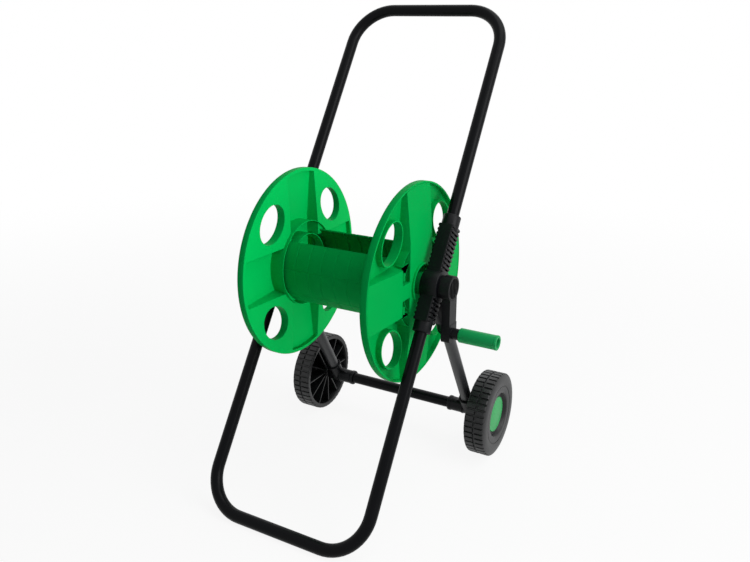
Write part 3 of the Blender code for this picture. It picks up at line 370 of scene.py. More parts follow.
def add_floor():
    """A white floor that keeps a soft shadow near the cart and fades to pure white."""
    bm = bmesh.new()
    bmesh.ops.create_grid(bm, x_segments=1, y_segments=1, size=FLOOR_HALF_SIZE)
    floor = object_from("floor", bm)
    look = bpy.data.materials.new("pale_floor")
    look.use_nodes = True
    tree = look.node_tree
    tree.nodes.clear()
    surface = add_node(tree, "ShaderNodeBsdfDiffuse", Color=FLOOR_COLOUR)
    glow = add_node(tree, "ShaderNodeEmission", Color=WHITE, Strength=1.0)
    place = tree.nodes.new("ShaderNodeTexCoord")
    length = tree.nodes.new("ShaderNodeVectorMath")
    length.operation = "LENGTH"
    span = {"From_Min": FLOOR_FADE_START, "From_Max": FLOOR_FADE_END, "To_Min": FLOOR_GLOW, "To_Max": 1.0}
    fade = add_node(tree, "ShaderNodeMapRange", **span)
    fade.interpolation_type = "SMOOTHSTEP"
    tree.links.new(place.outputs["Object"], length.inputs[0])
    tree.links.new(length.outputs["Value"], fade.inputs["Value"])
    share = math_node(tree, "MULTIPLY", fade.outputs["Result"], seen_directly(tree))
    finish_with_mix(tree, "ShaderNodeOutputMaterial", share, surface, glow)
    floor.data.materials.append(look)


# Mesh helpers


def object_from(name, bm):
    bmesh.ops.recalc_face_normals(bm, faces=bm.faces)
    mesh = bpy.data.meshes.new(name)
    bm.to_mesh(mesh)
    bm.free()
    made = bpy.data.objects.new(name, mesh)
    bpy.context.collection.objects.link(made)
    return made


def combine(target, operation, *tools):
    for tool in tools:
        step = target.modifiers.new(operation.lower(), "BOOLEAN")
        step.operation = operation
        step.solver = "EXACT"
        step.object = tool
    graph = bpy.context.evaluated_depsgraph_get()
    target.data = bpy.data.meshes.new_from_object(target.evaluated_get(graph))
    target.modifiers.clear()
    for tool in tools:
        bpy.data.objects.remove(tool, do_unlink=True)
    return target


def union(target, *tools):
    return combine(target, "UNION", *tools)


def cut(target, *tools):
    return combine(target, "DIFFERENCE", *tools)


def keep_inside(target, *tools):
    return combine(target, "INTERSECT", *tools)


def mirrored(name, source):
    """A copy on the other side of the cart."""
    bm = bmesh.new()
    bm.from_mesh(source.data)
    bmesh.ops.transform(bm, matrix=Matrix.Scale(-1, 4, X_AXIS), verts=bm.verts)
    bmesh.ops.reverse_faces(bm, faces=bm.faces)
    return object_from(name, bm)


def swapped(name, source):
    """Puts the mirror image in the place of a piece."""
    made = mirrored(name, source)
    bpy.data.objects.remove(source, do_unlink=True)
    return made


def moved(piece, matrix):
    piece.data.transform(matrix)
    return piece


def extruded(name, outline, offset):
    bm = bmesh.new()
    face = bm.faces.new([bm.verts.new(point) for point in outline])
    grown = bmesh.ops.extrude_face_region(bm, geom=[face])["geom"]
    ends = [item for item in grown if isinstance(item, bmesh.types.BMVert)]
    bmesh.ops.translate(bm, verts=ends, vec=offset)
    return object_from(name, bm)


def block(name, low, high):
    (x0, y0, z0), (x1, y1, z1) = low, high
    outline = [(x0, y0, z0), (x1, y0, z0), (x1, y1, z0), (x0, y1, z0)]
    return extruded(name, outline, (0, 0, z1 - z0))


def ring(bm, centre, across, up, radius, sides):
    angles = [(index + 0.5) * math.tau / sides for index in range(sides)]
    return [
        bm.verts.new(centre + radius * (math.cos(angle) * across + math.sin(angle) * up))
        for angle in angles
    ]


def bridge(bm, first, second):
    count = len(first)
    for index in range(count):
        after = (index + 1) % count
        corners = []
        for vertex in (first[index], first[after], second[after], second[index]):
            if vertex not in corners:
                corners.append(vertex)
        if len(corners) > 2:
            bm.faces.new(corners)


def pipe(name, stations, radius, sides=ROD_SIDES, edge=0.0):
    """A rod through stations of (centre, across, up), its ends rounded by edge."""
    bm = bmesh.new()
    rings = [ring(bm, *station, radius, sides) for station in stations]
    if edge:
        for end, inner in ((0, 1), (-1, -2)):
            centre, across, up = stations[end]
            inward = (stations[inner][0] - centre).normalized()
            for vertex in rings[end]:
                vertex.co += edge * inward
            lip = ring(bm, centre + 0.3 * edge * inward, across, up, radius - 0.3 * edge, sides)
            face = ring(bm, centre, across, up, radius - edge, sides)
            rings = [face, lip, *rings] if end == 0 else [*rings, lip, face]
    for first, second in zip(rings, rings[1:]):
        bridge(bm, first, second)
    bm.faces.new(rings[0])
    bm.faces.new(rings[-1])
    return object_from(name, bm)


def rod(name, start, end, radius, across=Y_AXIS, sides=ROD_SIDES, edge=0.0):
    start, end = Vector(start), Vector(end)
    up = (end - start).normalized().cross(across)
    return pipe(name, [(start, across, up), (end, across, up)], radius, sides, edge)


def rod_x(name, start, end, radius, y=0.0, z=0.0, sides=ROD_SIDES, edge=0.0):
    return rod(name, (start, y, z), (end, y, z), radius, Y_AXIS, sides, edge)


def turned(name, profile, sides=HUB_SIDES):
    """Turns a closed outline of (x, radius) points about the X axis."""
    bm = bmesh.new()
    rings = []
    for x, radius in profile:
        centre = Vector((x, 0, 0))
        if radius < AXIS_LIMIT:
            rings.append([bm.verts.new(centre)] * sides)
        else:
            rings.append(ring(bm, centre, Y_AXIS, Z_AXIS, radius, sides))
    for first, second in zip(rings, rings[1:] + rings[:1]):
        bridge(bm, first, second)
    return object_from(name, bm)


def rounded(points, radius, steps=3):
    """Rounds each corner of a closed 2-D outline, less where a side is short."""
    made = []
    count = len(points)
    for index in range(count):
        corner = Vector(points[index])
        before = Vector(points[index - 1]) - corner
        after = Vector(points[(index + 1) % count]) - corner
        reach = min(radius, 0.45 * before.length, 0.45 * after.length)
        if corner[1] < AXIS_LIMIT or reach < AXIS_LIMIT:
            made.append(tuple(corner))
            continue
        start = corner + before.normalized() * reach
        end = corner + after.normalized() * reach
        for step in range(steps + 1):
            share = step / steps
            point = (1 - share) ** 2 * start + 2 * share * (1 - share) * corner + share**2 * end
            made.append(tuple(point))
    return made


def softened(piece, width=SOFT_EDGE, flat=0.5):
    """Joins the flat faces that the Booleans split, then rounds the sharp edges."""
    bm = bmesh.new()
    bm.from_mesh(piece.data)
    bmesh.ops.remove_doubles(bm, verts=bm.verts, dist=MERGE_DISTANCE)
    bmesh.ops.dissolve_limit(bm, angle_limit=math.radians(flat), verts=bm.verts, edges=bm.edges)
    bm.to_mesh(piece.data)
    bm.free()
    smooth(piece)
    step = piece.modifiers.new("round", "BEVEL")
    step.width = width
    step.segments = 2
    step.limit_method = "ANGLE"
    step.angle_limit = math.radians(EDGE_ANGLE)
    step.use_clamp_overlap = False
    step.harden_normals = True
    return piece


def smooth(piece, angle=EDGE_ANGLE):
    piece.data.shade_smooth()
    piece.data.set_sharp_from_angle(angle=math.radians(angle))
    return piece


def show(piece, matrix, look, body, slot, *nodes):
    """Places a piece, dresses it and lets it stand for its CAD nodes."""
    piece.data.transform(matrix)
    piece.data.materials.clear()
    piece.data.materials.append(look)
    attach(piece, body)
    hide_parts(*nodes)


def show_pair(right, matrix, look, body, slot, node, width=0.0, angle=EDGE_ANGLE):
    """Shows a right piece and its mirror image, on bodies that may be named by side."""
    left = mirrored(right.name.replace("right", "left"), right)
    for side, piece in (("right", right), ("left", left)):
        done = softened(piece, width) if width else smooth(piece, angle)
        show(done, matrix, look, body.format(side=side), slot, f"{side}_{node}")


# Materials


def make_look(name, colour, roughness, bump_scale, bump_height, metallic=0.0, spread=0.06, gleam=0.5):
    """A moulded or coated surface with fine grain and slightly uneven gloss."""
    look = bpy.data.materials.new(name)
    look.use_nodes = True
    tree = look.node_tree
    link = tree.links.new
    shader = tree.nodes["Principled BSDF"]
    shader.inputs["Metallic"].default_value = metallic
    shader.inputs["Specular IOR Level"].default_value = gleam
    place = tree.nodes.new("ShaderNodeTexCoord")
    broad = add_node(tree, "ShaderNodeTexNoise", Scale=TINT_SCALE, Detail=3)
    link(place.outputs["Object"], broad.inputs["Vector"])
    tint = tree.nodes.new("ShaderNodeMix")
    tint.data_type = "RGBA"
    darker = [c * (1 - spread) for c in colour]
    lighter = [c * (1 + spread) for c in colour]
    tint.inputs[6].default_value = (*darker, 1)
    tint.inputs[7].default_value = (*lighter, 1)
    link(broad.outputs["Fac"], tint.inputs[0])
    link(tint.outputs[2], shader.inputs["Base Color"])
    duller, shinier = roughness * (1 + GLOSS_SPREAD), roughness * (1 - GLOSS_SPREAD)
    gloss = add_node(tree, "ShaderNodeMapRange", To_Min=shinier, To_Max=duller)
    link(broad.outputs["Fac"], gloss.inputs["Value"])
    link(gloss.outputs["Result"], shader.inputs["Roughness"])
    grain = add_node(tree, "ShaderNodeTexNoise", Scale=bump_scale, Detail=2)
    link(place.outputs["Object"], grain.inputs["Vector"])
    bump = add_node(tree, "ShaderNodeBump", Strength=BUMP_STRENGTH, Distance=bump_height)
    link(grain.outputs["Fac"], bump.inputs["Height"])
    link(bump.outputs["Normal"], shader.inputs["Normal"])
    return look


GREEN = make_look("green_plastic", (0.0, 0.355, 0.066), 0.45, 900, 0.00012, gleam=0.02)
GRIP_GREEN = make_look("grip_green_plastic", (0.006, 0.36, 0.10), 0.45, 420, 0.0005, gleam=0.16)
# Painted highlight: the hub caps' green plastic made paler, the pale tint standing for the highlight on
# the caps
CAP_GREEN_PAINTED_HIGHLIGHT = make_look("pale_green_plastic", (0.035, 0.40, 0.11), 0.38, 900, 0.00012, gleam=0.14)
BLACK = make_look("black_plastic", (0.0035, 0.004, 0.0052), 0.38, 1100, 0.00015, gleam=0.14)
PAINT = make_look("black_painted_steel", (0.002, 0.0023, 0.0032), 0.32, 650, 0.00008, gleam=0.08)
# Painted light: the legs' black paint with a much lighter colour, standing for the brighter light that
# falls on the legs
LEG_PAINT_PAINTED_LIGHT = make_look("satin_painted_steel", (0.020, 0.021, 0.023), 0.42, 650, 0.00008, gleam=0.48)
TREAD = make_look("black_wheel_plastic", (0.006, 0.0065, 0.0075), 0.42, 1100, 0.00015, gleam=0.38)
STEEL = make_look("zinc_plated_steel", (0.55, 0.56, 0.58), 0.32, 500, 0.00005, metallic=1.0)


# Tubes


def frame_stations(reach, bend_radius, sign, steps=14):
    """The way of a bow, upwards for the sign 1 and downwards for -1."""
    corner_x = FRAME_HALF_WIDTH - bend_radius
    corner_z = reach - bend_radius
    path = [(FRAME_HALF_WIDTH, TUBE_STOP, (0, 1))]
    for step in range(steps + 1):
        angle = step / steps * math.pi / 2
        x = corner_x + bend_radius * math.cos(angle)
        z = corner_z + bend_radius * math.sin(angle)
        path.append((x, z, (-math.sin(angle), math.cos(angle))))
    path += [(-x, z, (along_x, -along_z)) for x, z, (along_x, along_z) in reversed(path)]
    return [
        (Vector((x, 0, sign * z)), Vector((along_z, 0, -along_x * sign)), Y_AXIS)
        for x, z, (along_x, along_z) in path
    ]


def dress_tubes():
    handle = pipe("handle_bow", frame_stations(HANDLE_REACH, HANDLE_BEND, 1), TUBE_RADIUS)
    foot = pipe("foot_bow", frame_stations(FOOT_REACH, FOOT_BEND, -1), TUBE_RADIUS)
    x = FRAME_HALF_WIDTH
    leg = rod("right_leg", (x, 0, -TUBE_STOP), (x, 0, LEG_END_GAP - LEG_LENGTH), TUBE_RADIUS, X_AXIS)
    show(smooth(handle), AT_FRAME, PAINT, "cart_frame", "black_painted_steel", "handle_tube")
    show(smooth(foot), AT_FRAME, PAINT, "cart_frame", "black_painted_steel", "foot_tube")
    # the legs take the lighter copy of the black paint, whose extra lightness is painted light
    show_pair(leg, AT_LEGS, LEG_PAINT_PAINTED_LIGHT, "cart_frame", "black_painted_steel", "leg_tube")
    cross = rod_x("cross_bar", -CROSS_HALF, CROSS_HALF, TUBE_RADIUS)
    show(smooth(cross), AT_AXLE, PAINT, "cart_frame", "black_painted_steel", "cross_tube")


# Brackets


def upright_span(start, end):
    return [(Vector((FRAME_HALF_WIDTH, 0, z)), X_AXIS, Y_AXIS) for z in (start, end)]


def leg_span(start, end):
    turn = Matrix.Rotation(FRAME_TILT + LEG_TILT, 3, "X")
    side = Vector((FRAME_HALF_WIDTH, 0, 0))
    return [(side + turn @ Vector((0, 0, -s)), X_AXIS, turn @ Y_AXIS) for s in (start, end)]


def rib_outline(steps=4):
    """A rounded rectangle across the sleeve, as (x, y) points."""
    points = []
    corner = RIB_CORNER
    for x, y, start in ((1, 1, 0), (-1, 1, 1), (-1, -1, 2), (1, -1, 3)):
        middle_x = x * (RIB_HALF_WIDTH - corner)
        middle_y = (RIB_BACK - corner) if y > 0 else (corner - RIB_FRONT)
        for step in range(steps + 1):
            angle = (start + step / steps) * math.pi / 2
            points.append((middle_x + corner * math.cos(angle), middle_y + corner * math.sin(angle)))
    return points


def bracket_ribs(top, bottom):
    """The front wall of a sleeve, its round core and the ribs across it."""
    middle = FRAME_HALF_WIDTH
    left, right = middle - FRONT_HALF_WIDTH, middle + FRONT_HALF_WIDTH
    front, back = -RIB_FRONT, FRONT_WALL - RIB_FRONT
    wall = [
        (left, back, bottom),
        (left, front, bottom),
        (left + RIB_EDGE, front - OVERLAP, bottom),
        (right - RIB_EDGE, front - OVERLAP, bottom),
        (right, front, bottom),
        (right, back, bottom),
    ]
    parts = [
        extruded("front_wall", wall, (0, 0, top - bottom)),
        pipe("core", upright_span(bottom, top), SLEEVE_CORE_RADIUS, COLLAR_SIDES),
        block("back_wall", (left, RIB_BACK - FRONT_WALL, bottom), (right, RIB_BACK - OVERLAP, top)),
    ]
    count = int((top - bottom - RIB_THICKNESS) / RIB_PITCH) + 1
    for index in range(count):
        z = top - index * RIB_PITCH
        outline = [(middle + x, y, z - RIB_THICKNESS) for x, y in rib_outline()]
        parts.append(extruded("rib", outline, (0, 0, RIB_THICKNESS - CLEARANCE)))
    return parts


def collar(name, span, radius=SLEEVE_RADIUS):
    return pipe(name, span, radius, COLLAR_SIDES, COLLAR_EDGE)


def make_bracket():
    """The right bracket: three sleeves round the reel boss, ribbed outside."""
    middle = FRAME_HALF_WIDTH
    top = UPPER_REACH - UPPER_COLLAR
    bottom = LOWER_COLLAR - LOWER_REACH
    inner, outer = middle - BOSS_INNER, middle + BOSS_OUTER
    bracket = rod_x("right_bracket_moulding", inner, outer, BOSS_RADIUS, sides=HUB_SIDES, edge=BOSS_EDGE)
    leg_centre = leg_span(WEB_REACH, WEB_REACH)[0][0]
    web_x = middle - WEB_THICKNESS / 2
    web = [(web_x, 0, 0), (web_x, 0, bottom), (web_x, *leg_centre.yz)]
    inner_end = 0.75 * BOSS_RADIUS
    lip = leg_span(LEG_SOCKET_REACH - LEG_LIP, LEG_SOCKET_REACH)
    union(
        bracket,
        collar("upper_collar", upright_span(top - RIB_PITCH, UPPER_REACH)),
        collar("lower_collar", upright_span(bottom + RIB_PITCH, -LOWER_REACH)),
        collar("leg_socket", leg_span(BOSS_RADIUS / 2, LEG_SOCKET_REACH)),
        collar("socket_lip", lip, SLEEVE_RADIUS + OVERLAP),
        extruded("web", web, (WEB_THICKNESS, 0, 0)),
        *bracket_ribs(top, inner_end),
        *bracket_ribs(-inner_end, bottom),
    )
    stop = TUBE_STOP - CLEARANCE
    cut(
        bracket,
        pipe("handle_bore", upright_span(stop, 2 * UPPER_REACH), BORE_RADIUS),
        pipe("foot_bore", upright_span(-stop, -2 * LOWER_REACH), BORE_RADIUS),
        pipe("leg_bore", leg_span(stop, 2 * LEG_SOCKET_REACH), BORE_RADIUS),
        rod_x("shaft_bore", 0, 2 * middle, SHAFT_RADIUS + CLEARANCE),
    )
    return bracket


def dress_brackets():
    show_pair(make_bracket(), AT_FRAME, BLACK, "cart_frame", "black_plastic", "bracket", SOFT_EDGE)


# Reel


def drafted_bar(name, profile, along, across, thinner):
    """A bar with a profile of (reach, x), its sides drawn in towards its top."""
    bm = bmesh.new()
    slope = (ARM_FOOT_HALF_WIDTH - ARM_TOP_HALF_WIDTH) / (ARM_RISE + DISH_RISE)
    sides = []
    for sign in (-1, 1):
        side = []
        for reach, x in profile:
            half_width = ARM_TOP_HALF_WIDTH - thinner + slope * (ARM_RISE - x)
            side.append(bm.verts.new(X_AXIS * x + along * reach + across * sign * half_width))
        bm.faces.new(side)
        sides.append(side)
    bridge(bm, *sides)
    return object_from(name, bm)


def dished_limit(hub_x, rim_x, radius):
    """A round solid with the flange's shallow cone as its inner side."""
    far = 2 * FLANGE_RADIUS
    profile = [(hub_x, 0), (hub_x, DISH_REACH), (rim_x, radius), (far, radius), (far, 0)]
    return turned("limit", profile, FLANGE_SIDES)


def cross_arms(name, hub_x, rim_x, drop, limit):
    """Two crossed bars whose backs slope down to the rim, trimmed to a circle."""
    ramp_end = math.sqrt((FLANGE_RADIUS - RIM_THICKNESS) ** 2 - ARM_FOOT_HALF_WIDTH**2) - drop
    rim_height = RIM_WIDTH - 2 * CLEARANCE - drop
    far = 2 * FLANGE_RADIUS
    bottom = hub_x - FLANGE_WALL
    back = [(far, rim_height), (ramp_end, rim_height), (ARM_FLAT_REACH - drop, ARM_RISE - drop)]
    back += [(-reach, x) for reach, x in reversed(back)]
    profile = [(-far, bottom), (far, bottom), *back]
    bars = []
    for along, across in ((Z_AXIS, Y_AXIS), (Y_AXIS, Z_AXIS)):
        bar = drafted_bar(name, profile, along, across, drop)
        bars.append(keep_inside(bar, dished_limit(hub_x, rim_x, limit)))
    return union(*bars)


def oval_rod(name, start, end, grown, y, z):
    """A rod along X with the outline of a hand hole, its long axis along the rim."""
    radial = Vector((0, y, z)).normalized()
    tangent = X_AXIS.cross(radial)
    outline = []
    for step in range(HOLE_SIDES):
        angle = math.tau * step / HOLE_SIDES
        point = Vector((start, y, z)) + (HOLE_LENGTH + grown) * math.cos(angle) * tangent
        outline.append(point + (HOLE_BREADTH + grown) * math.sin(angle) * radial)
    return extruded(name, outline, X_AXIS * (end - start))


def tab_windows():
    """Cutters for the four windows that the drum shells snap into."""
    outer_edge = TAB_DISTANCE + TAB_THICKNESS / 2 + 3 * CLEARANCE
    inner_edge = outer_edge - WINDOW_DEPTH
    windows = []
    for low_y, high_y in ((-outer_edge, -inner_edge), (inner_edge, outer_edge)):
        for z in (-TAB_HEIGHT, TAB_HEIGHT):
            low = (ARM_FLOOR - FLANGE_WALL, low_y, z - WINDOW_HALF_HEIGHT)
            high = (ARM_RISE + FLANGE_WALL, high_y, z + WINDOW_HALF_HEIGHT)
            windows.append(block("window", low, high))
    return windows


def make_flange(name, square_drive):
    """A reel flange, its inner face at x = 0 and its outer side towards +X."""
    inner_rim = FLANGE_RADIUS - RIM_THICKNESS
    edge = FLANGE_WALL / 3
    disc = [
        (-DISH_RISE, 0),
        (-DISH_RISE, DISH_REACH),
        (0, inner_rim),
        (0, FLANGE_RADIUS),
        (RIM_WIDTH, FLANGE_RADIUS),
        (RIM_WIDTH, inner_rim),
        (FLANGE_WALL, inner_rim),
        (FLANGE_WALL - DISH_RISE, DISH_REACH),
        (FLANGE_WALL - DISH_RISE, 0),
    ]
    flange = turned(name, rounded(disc, RIM_EDGE), FLANGE_SIDES)
    hub_x, rim_x = edge - DISH_RISE, edge
    limit = inner_rim + RIM_THICKNESS / 2
    arms = cross_arms("arms", hub_x, rim_x, 0, limit)
    low_x = -DISH_RISE - edge
    hollow = cross_arms("hollow", low_x, low_x, FLANGE_WALL, inner_rim - FLANGE_WALL)
    collar_end = RIM_WIDTH - CLEARANCE
    collars = [
        keep_inside(
            oval_rod("collar", hub_x, collar_end, COLLAR_WALL, y, z),
            dished_limit(hub_x, rim_x, limit),
        )
        for y, z in HOLE_CENTRES
    ]
    union(flange, arms, *collars)
    well = (RECESS_RADIUS + CUP_RADIUS) / 2
    cut(flange, hollow, rod_x("well", -ARM_RISE, 2 * ARM_RISE, well, sides=HUB_SIDES))
    hub = [
        (HUB_TUBE_INNER, 0),
        (HUB_TUBE_INNER, HUB_TUBE_RADIUS),
        (CUP_INNER, HUB_TUBE_RADIUS),
        (CUP_INNER, CUP_RADIUS),
        (HUB_RISE + edge, CUP_RADIUS),
        (HUB_RISE + edge, RECESS_RADIUS),
        (RECESS_FLOOR, RECESS_RADIUS),
        (RECESS_FLOOR, HUB_FACE_RADIUS),
        (HUB_FACE, HUB_FACE_RADIUS),
        (HUB_FACE, 0),
    ]
    parts = [turned("hub", hub, HUB_SIDES)]
    for radius in LOCATING_RINGS:
        inside = radius - LOCATING_WALL
        profile = [(-LOCATING_HEIGHT, inside), (-LOCATING_HEIGHT, radius)]
        profile += [(ARM_FLOOR + OVERLAP, radius), (ARM_FLOOR + OVERLAP, inside)]
        parts.append(turned("locating_ring", profile, HUB_SIDES))
    union(flange, *parts)
    if square_drive:
        half = DRIVE_HALF_WIDTH
        bore = block("bore", (-ARM_RISE, -half, -half), (2 * ARM_RISE, half, half))
    else:
        bore = rod_x("bore", -ARM_RISE, 2 * ARM_RISE, SHAFT_RADIUS + CLEARANCE)
    holes = [oval_rod("hand_hole", -ARM_RISE, 2 * ARM_RISE, 0, y, z) for y, z in HOLE_CENTRES]
    cut(flange, bore, *holes, *tab_windows())
    return moved(flange, Matrix.Translation((FLANGE_INNER, 0, 0)))


def groove_stations(start, end, count, between, groove):
    """Places from start to end as (place, depth share), with a groove at each line."""
    pitch = (end - start) / count
    stations = []
    for cell in range(count):
        left = start + cell * pitch + (groove / 2 if cell else 0)
        right = start + (cell + 1) * pitch - (groove / 2 if cell < count - 1 else 0)
        for step in range(between + 1):
            stations.append((left + (right - left) * step / between, 0))
        if cell < count - 1:
            line = start + (cell + 1) * pitch
            stations += [(line + share * groove, 1) for share in (-GROOVE_FLAT, 0, GROOVE_FLAT)]
    return stations


def shell_body(name):
    """The curved wall of a drum shell, panelled outside and ribbed inside."""
    half_length = FLANGE_INNER - DISH_RISE - CLEARANCE
    along = groove_stations(-half_length, half_length, SHELL_COLUMNS, 2, GROOVE_WIDTH)
    first = SHELL_CENTRE - SHELL_HALF_SPAN
    last = SHELL_CENTRE + SHELL_HALF_SPAN
    around = groove_stations(first, last, SHELL_ROWS, 14, GROOVE_WIDTH / DRUM_RADIUS)
    bm = bmesh.new()

    def skin(radius, step):
        grid = []
        for x, x_depth in along:
            row = []
            for angle, angle_depth in around:
                r = radius - step * max(x_depth, angle_depth)
                row.append(bm.verts.new((x, r * math.cos(angle), r * math.sin(angle))))
            grid.append(row)
        for left, right in zip(grid, grid[1:]):
            for index in range(len(left) - 1):
                bm.faces.new((left[index], left[index + 1], right[index + 1], right[index]))
        return grid

    outside = skin(DRUM_RADIUS, GROOVE_DEPTH)
    inside = skin(DRUM_RADIUS - DRUM_WALL, PANEL_RIB_HEIGHT)

    def edge_loop(grid):
        loop = grid[0][:-1] + [row[-1] for row in grid[:-1]]
        return loop + grid[-1][:0:-1] + [row[0] for row in reversed(grid[1:])]

    bridge(bm, edge_loop(outside), edge_loop(inside))
    return object_from(name, bm)


def tongue(start_x, end_x, steps=16):
    """A curved plate that carries the drum wall into the flange's arm."""
    half_span = math.asin(TONGUE_HALF_WIDTH / DRUM_RADIUS)
    outer = DRUM_RADIUS - OVERLAP
    inner = DRUM_RADIUS - DRUM_WALL + OVERLAP
    angles = [math.pi + half_span * (2 * step / steps - 1) for step in range(steps + 1)]
    outline = [(start_x, outer * math.cos(a), outer * math.sin(a)) for a in angles]
    outline += [(start_x, inner * math.cos(a), inner * math.sin(a)) for a in reversed(angles)]
    return extruded("tongue", outline, (end_x - start_x, 0, 0))


def tab_pocket(side, y, z):
    """The open box behind a window, which closes the inside of the drum."""
    end = FLANGE_INNER + ARM_FLOOR - CLEARANCE
    start = end - POCKET_DEPTH
    boxes = []
    for grown, deeper in ((DRUM_WALL / 2, 0), (-CLEARANCE, DRUM_WALL)):
        near, far = sorted((side * (start + deeper), side * (end + deeper)))
        height = WINDOW_HALF_HEIGHT + grown
        low = (near, y + (0 if deeper else -OVERLAP), z - height)
        boxes.append(block("pocket", low, (far, y + WINDOW_DEPTH + grown, z + height)))
    return cut(*boxes)


def make_shell(name):
    """The front drum shell, with a tongue and two snap tabs at each end."""
    shell = shell_body(name)
    inside = FLANGE_INNER - DISH_RISE - FLANGE_WALL
    tongue_end = FLANGE_INNER + ARM_FLOOR - CLEARANCE
    tab_end = FLANGE_INNER + ARM_RISE + HOOK_LENGTH
    outer_face = FLANGE_INNER + ARM_RISE + CLEARANCE
    y = -TAB_DISTANCE
    half = TAB_THICKNESS / 2
    for side in (-1, 1):
        parts = [tongue(side * inside, side * tongue_end)]
        for z in (-TAB_HEIGHT, TAB_HEIGHT):
            tab = [(tongue_end - DRUM_WALL, y - half), (outer_face, y - half)]
            tab += [(outer_face, y - half - HOOK_DEPTH), (tab_end, y), (tab_end, y + half)]
            tab.append((tongue_end - DRUM_WALL, y + half))
            corners = [(side * x, tab_y, z - TAB_HALF_WIDTH) for x, tab_y in tab]
            parts.append(extruded("tab", corners, (0, 0, 2 * TAB_HALF_WIDTH)))
            parts.append(tab_pocket(side, y - half, z))
        union(shell, *parts)
    return shell


def dress_reel():
    right = make_flange("right_flange_moulding", True)
    left = swapped("left_flange_moulding", make_flange("round_flange", False))
    front = make_shell("front_shell_moulding")
    bm = bmesh.new()
    bm.from_mesh(front.data)
    rear = object_from("rear_shell_moulding", bm)
    moved(rear, Matrix.Rotation(math.pi, 4, "Z"))
    for piece, edge, node in (
        (right, FLANGE_EDGE, "right_flange"),
        (left, FLANGE_EDGE, "left_flange"),
        (front, SOFT_EDGE, "front_drum_shell"),
        (rear, SOFT_EDGE, "rear_drum_shell"),
    ):
        show(softened(piece, edge, flat=0.03), AT_REEL, GREEN, "reel", "green_plastic", node)


# Crank and grip


def make_crank(steps=72):
    """The crank arm with its shaft, square drive and open back."""
    half = CRANK_HALF_WIDTH
    start = -math.acos(half / CRANK_HUB_RADIUS)
    span = math.pi - 2 * start
    outline = []
    for step in range(steps + 1):
        angle = start + span * step / steps
        y, z = CRANK_HUB_RADIUS * math.cos(angle), CRANK_HUB_RADIUS * math.sin(angle)
        outline.append((CRANK_INNER, y, z))
    outline += [(CRANK_INNER, -half, -CRANK_RADIUS), (CRANK_INNER, half, -CRANK_RADIUS)]
    crank = extruded("crank_moulding", outline, (CRANK_THICKNESS, 0, 0))
    low_x = CRANK_INNER - BLOCK_PROUD
    corner = CRANK_CORNER
    wide = BLOCK_HALF_WIDTH
    edge = [(wide, -BLOCK_TOP), (wide, corner - CRANK_END)]
    edge += [(wide - 0.3 * corner, 0.3 * corner - CRANK_END), (wide - corner, -CRANK_END)]
    end_block = [(low_x, -y, z) for y, z in edge] + [(low_x, y, z) for y, z in reversed(edge)]
    boss_outer = FRAME_HALF_WIDTH + BOSS_OUTER + CLEARANCE
    shaft_end = FLANGE_INNER + HUB_FACE + CLEARANCE
    drive_end = FLANGE_INNER + HUB_TUBE_INNER + BOLT_RADIUS
    drive = DRIVE_HALF_WIDTH - CLEARANCE
    grip_seat = CRANK_OUTER + GRIP_BOSS_LENGTH
    union(
        crank,
        extruded("end_block", end_block, (CRANK_THICKNESS + 2 * BLOCK_PROUD, 0, 0)),
        rod_x("thrust_face", boss_outer, CRANK_INNER + OVERLAP, CAP_RADIUS, sides=HUB_SIDES),
        rod_x("shaft", shaft_end, CRANK_INNER + OVERLAP, SHAFT_RADIUS),
        block("drive", (drive_end, -drive, -drive), (shaft_end + OVERLAP, drive, drive)),
        rod_x("grip_boss", CRANK_OUTER, grip_seat, GRIP_BOSS_RADIUS, 0, -CRANK_RADIUS),
    )
    pocket_half = half - CRANK_WALL
    pocket_low = (CRANK_INNER - CRANK_THICKNESS, -pocket_half, -BLOCK_TOP + CRANK_WALL)
    pocket_high = (CRANK_OUTER - CRANK_WALL, pocket_half, -CRANK_HUB_RADIUS - CRANK_WALL)
    head_seat = CRANK_FACE - 2 * CRANK_WALL - CLEARANCE
    pin_hole = GRIP_PIN_RADIUS + CLEARANCE
    cut(
        crank,
        block("pocket", pocket_low, pocket_high),
        rod_x("bolt_hole", 0, 2 * CRANK_OUTER, BOLT_RADIUS + CLEARANCE),
        rod_x("cap_seat", CRANK_FACE, 2 * CRANK_OUTER, CAP_RADIUS + CLEARANCE, sides=HUB_SIDES),
        rod_x("plug_seat", head_seat, 2 * CRANK_OUTER, PLUG_RADIUS + CLEARANCE),
        rod_x("pin_hole", CRANK_INNER + CRANK_WALL, 2 * CRANK_OUTER, pin_hole, 0, -CRANK_RADIUS),
    )
    return crank


def make_cap():
    """The round cap over the crank bolt, with a rolled rim and upright ribs."""
    start = CRANK_FACE + CLEARANCE
    end = start + CAP_THICKNESS
    rim = CAP_THICKNESS / 2
    profile = [
        (start, 0),
        (start, CAP_RADIUS),
        (end + rim, CAP_RADIUS),
        (end + rim, CAP_RADIUS - 2 * rim),
        (end - rim / 2, CAP_RADIUS - 2.5 * rim),
        (end - rim / 2, 0),
    ]
    cap = turned("crank_cap_moulding", rounded(profile, CAP_EDGE))
    parts = [rod_x("plug", CRANK_FACE - CAP_THICKNESS, start + OVERLAP, PLUG_RADIUS)]
    inside = CAP_RADIUS - 2.2 * rim
    pitch = 2 * inside / (CAP_RIBS + 1)
    for index in range(CAP_RIBS):
        y = (index + 1) * pitch - inside
        height = math.sqrt(inside**2 - y**2)
        outline = [
            (end - rim, y - 0.7 * rim, -height),
            (end - rim, y + 0.7 * rim, -height),
            (end + 0.7 * rim, y + 0.45 * rim, -height),
            (end + 0.7 * rim, y - 0.45 * rim, -height),
        ]
        parts.append(extruded("rib", outline, (0, 0, 2 * height)))
    return union(cap, *parts)


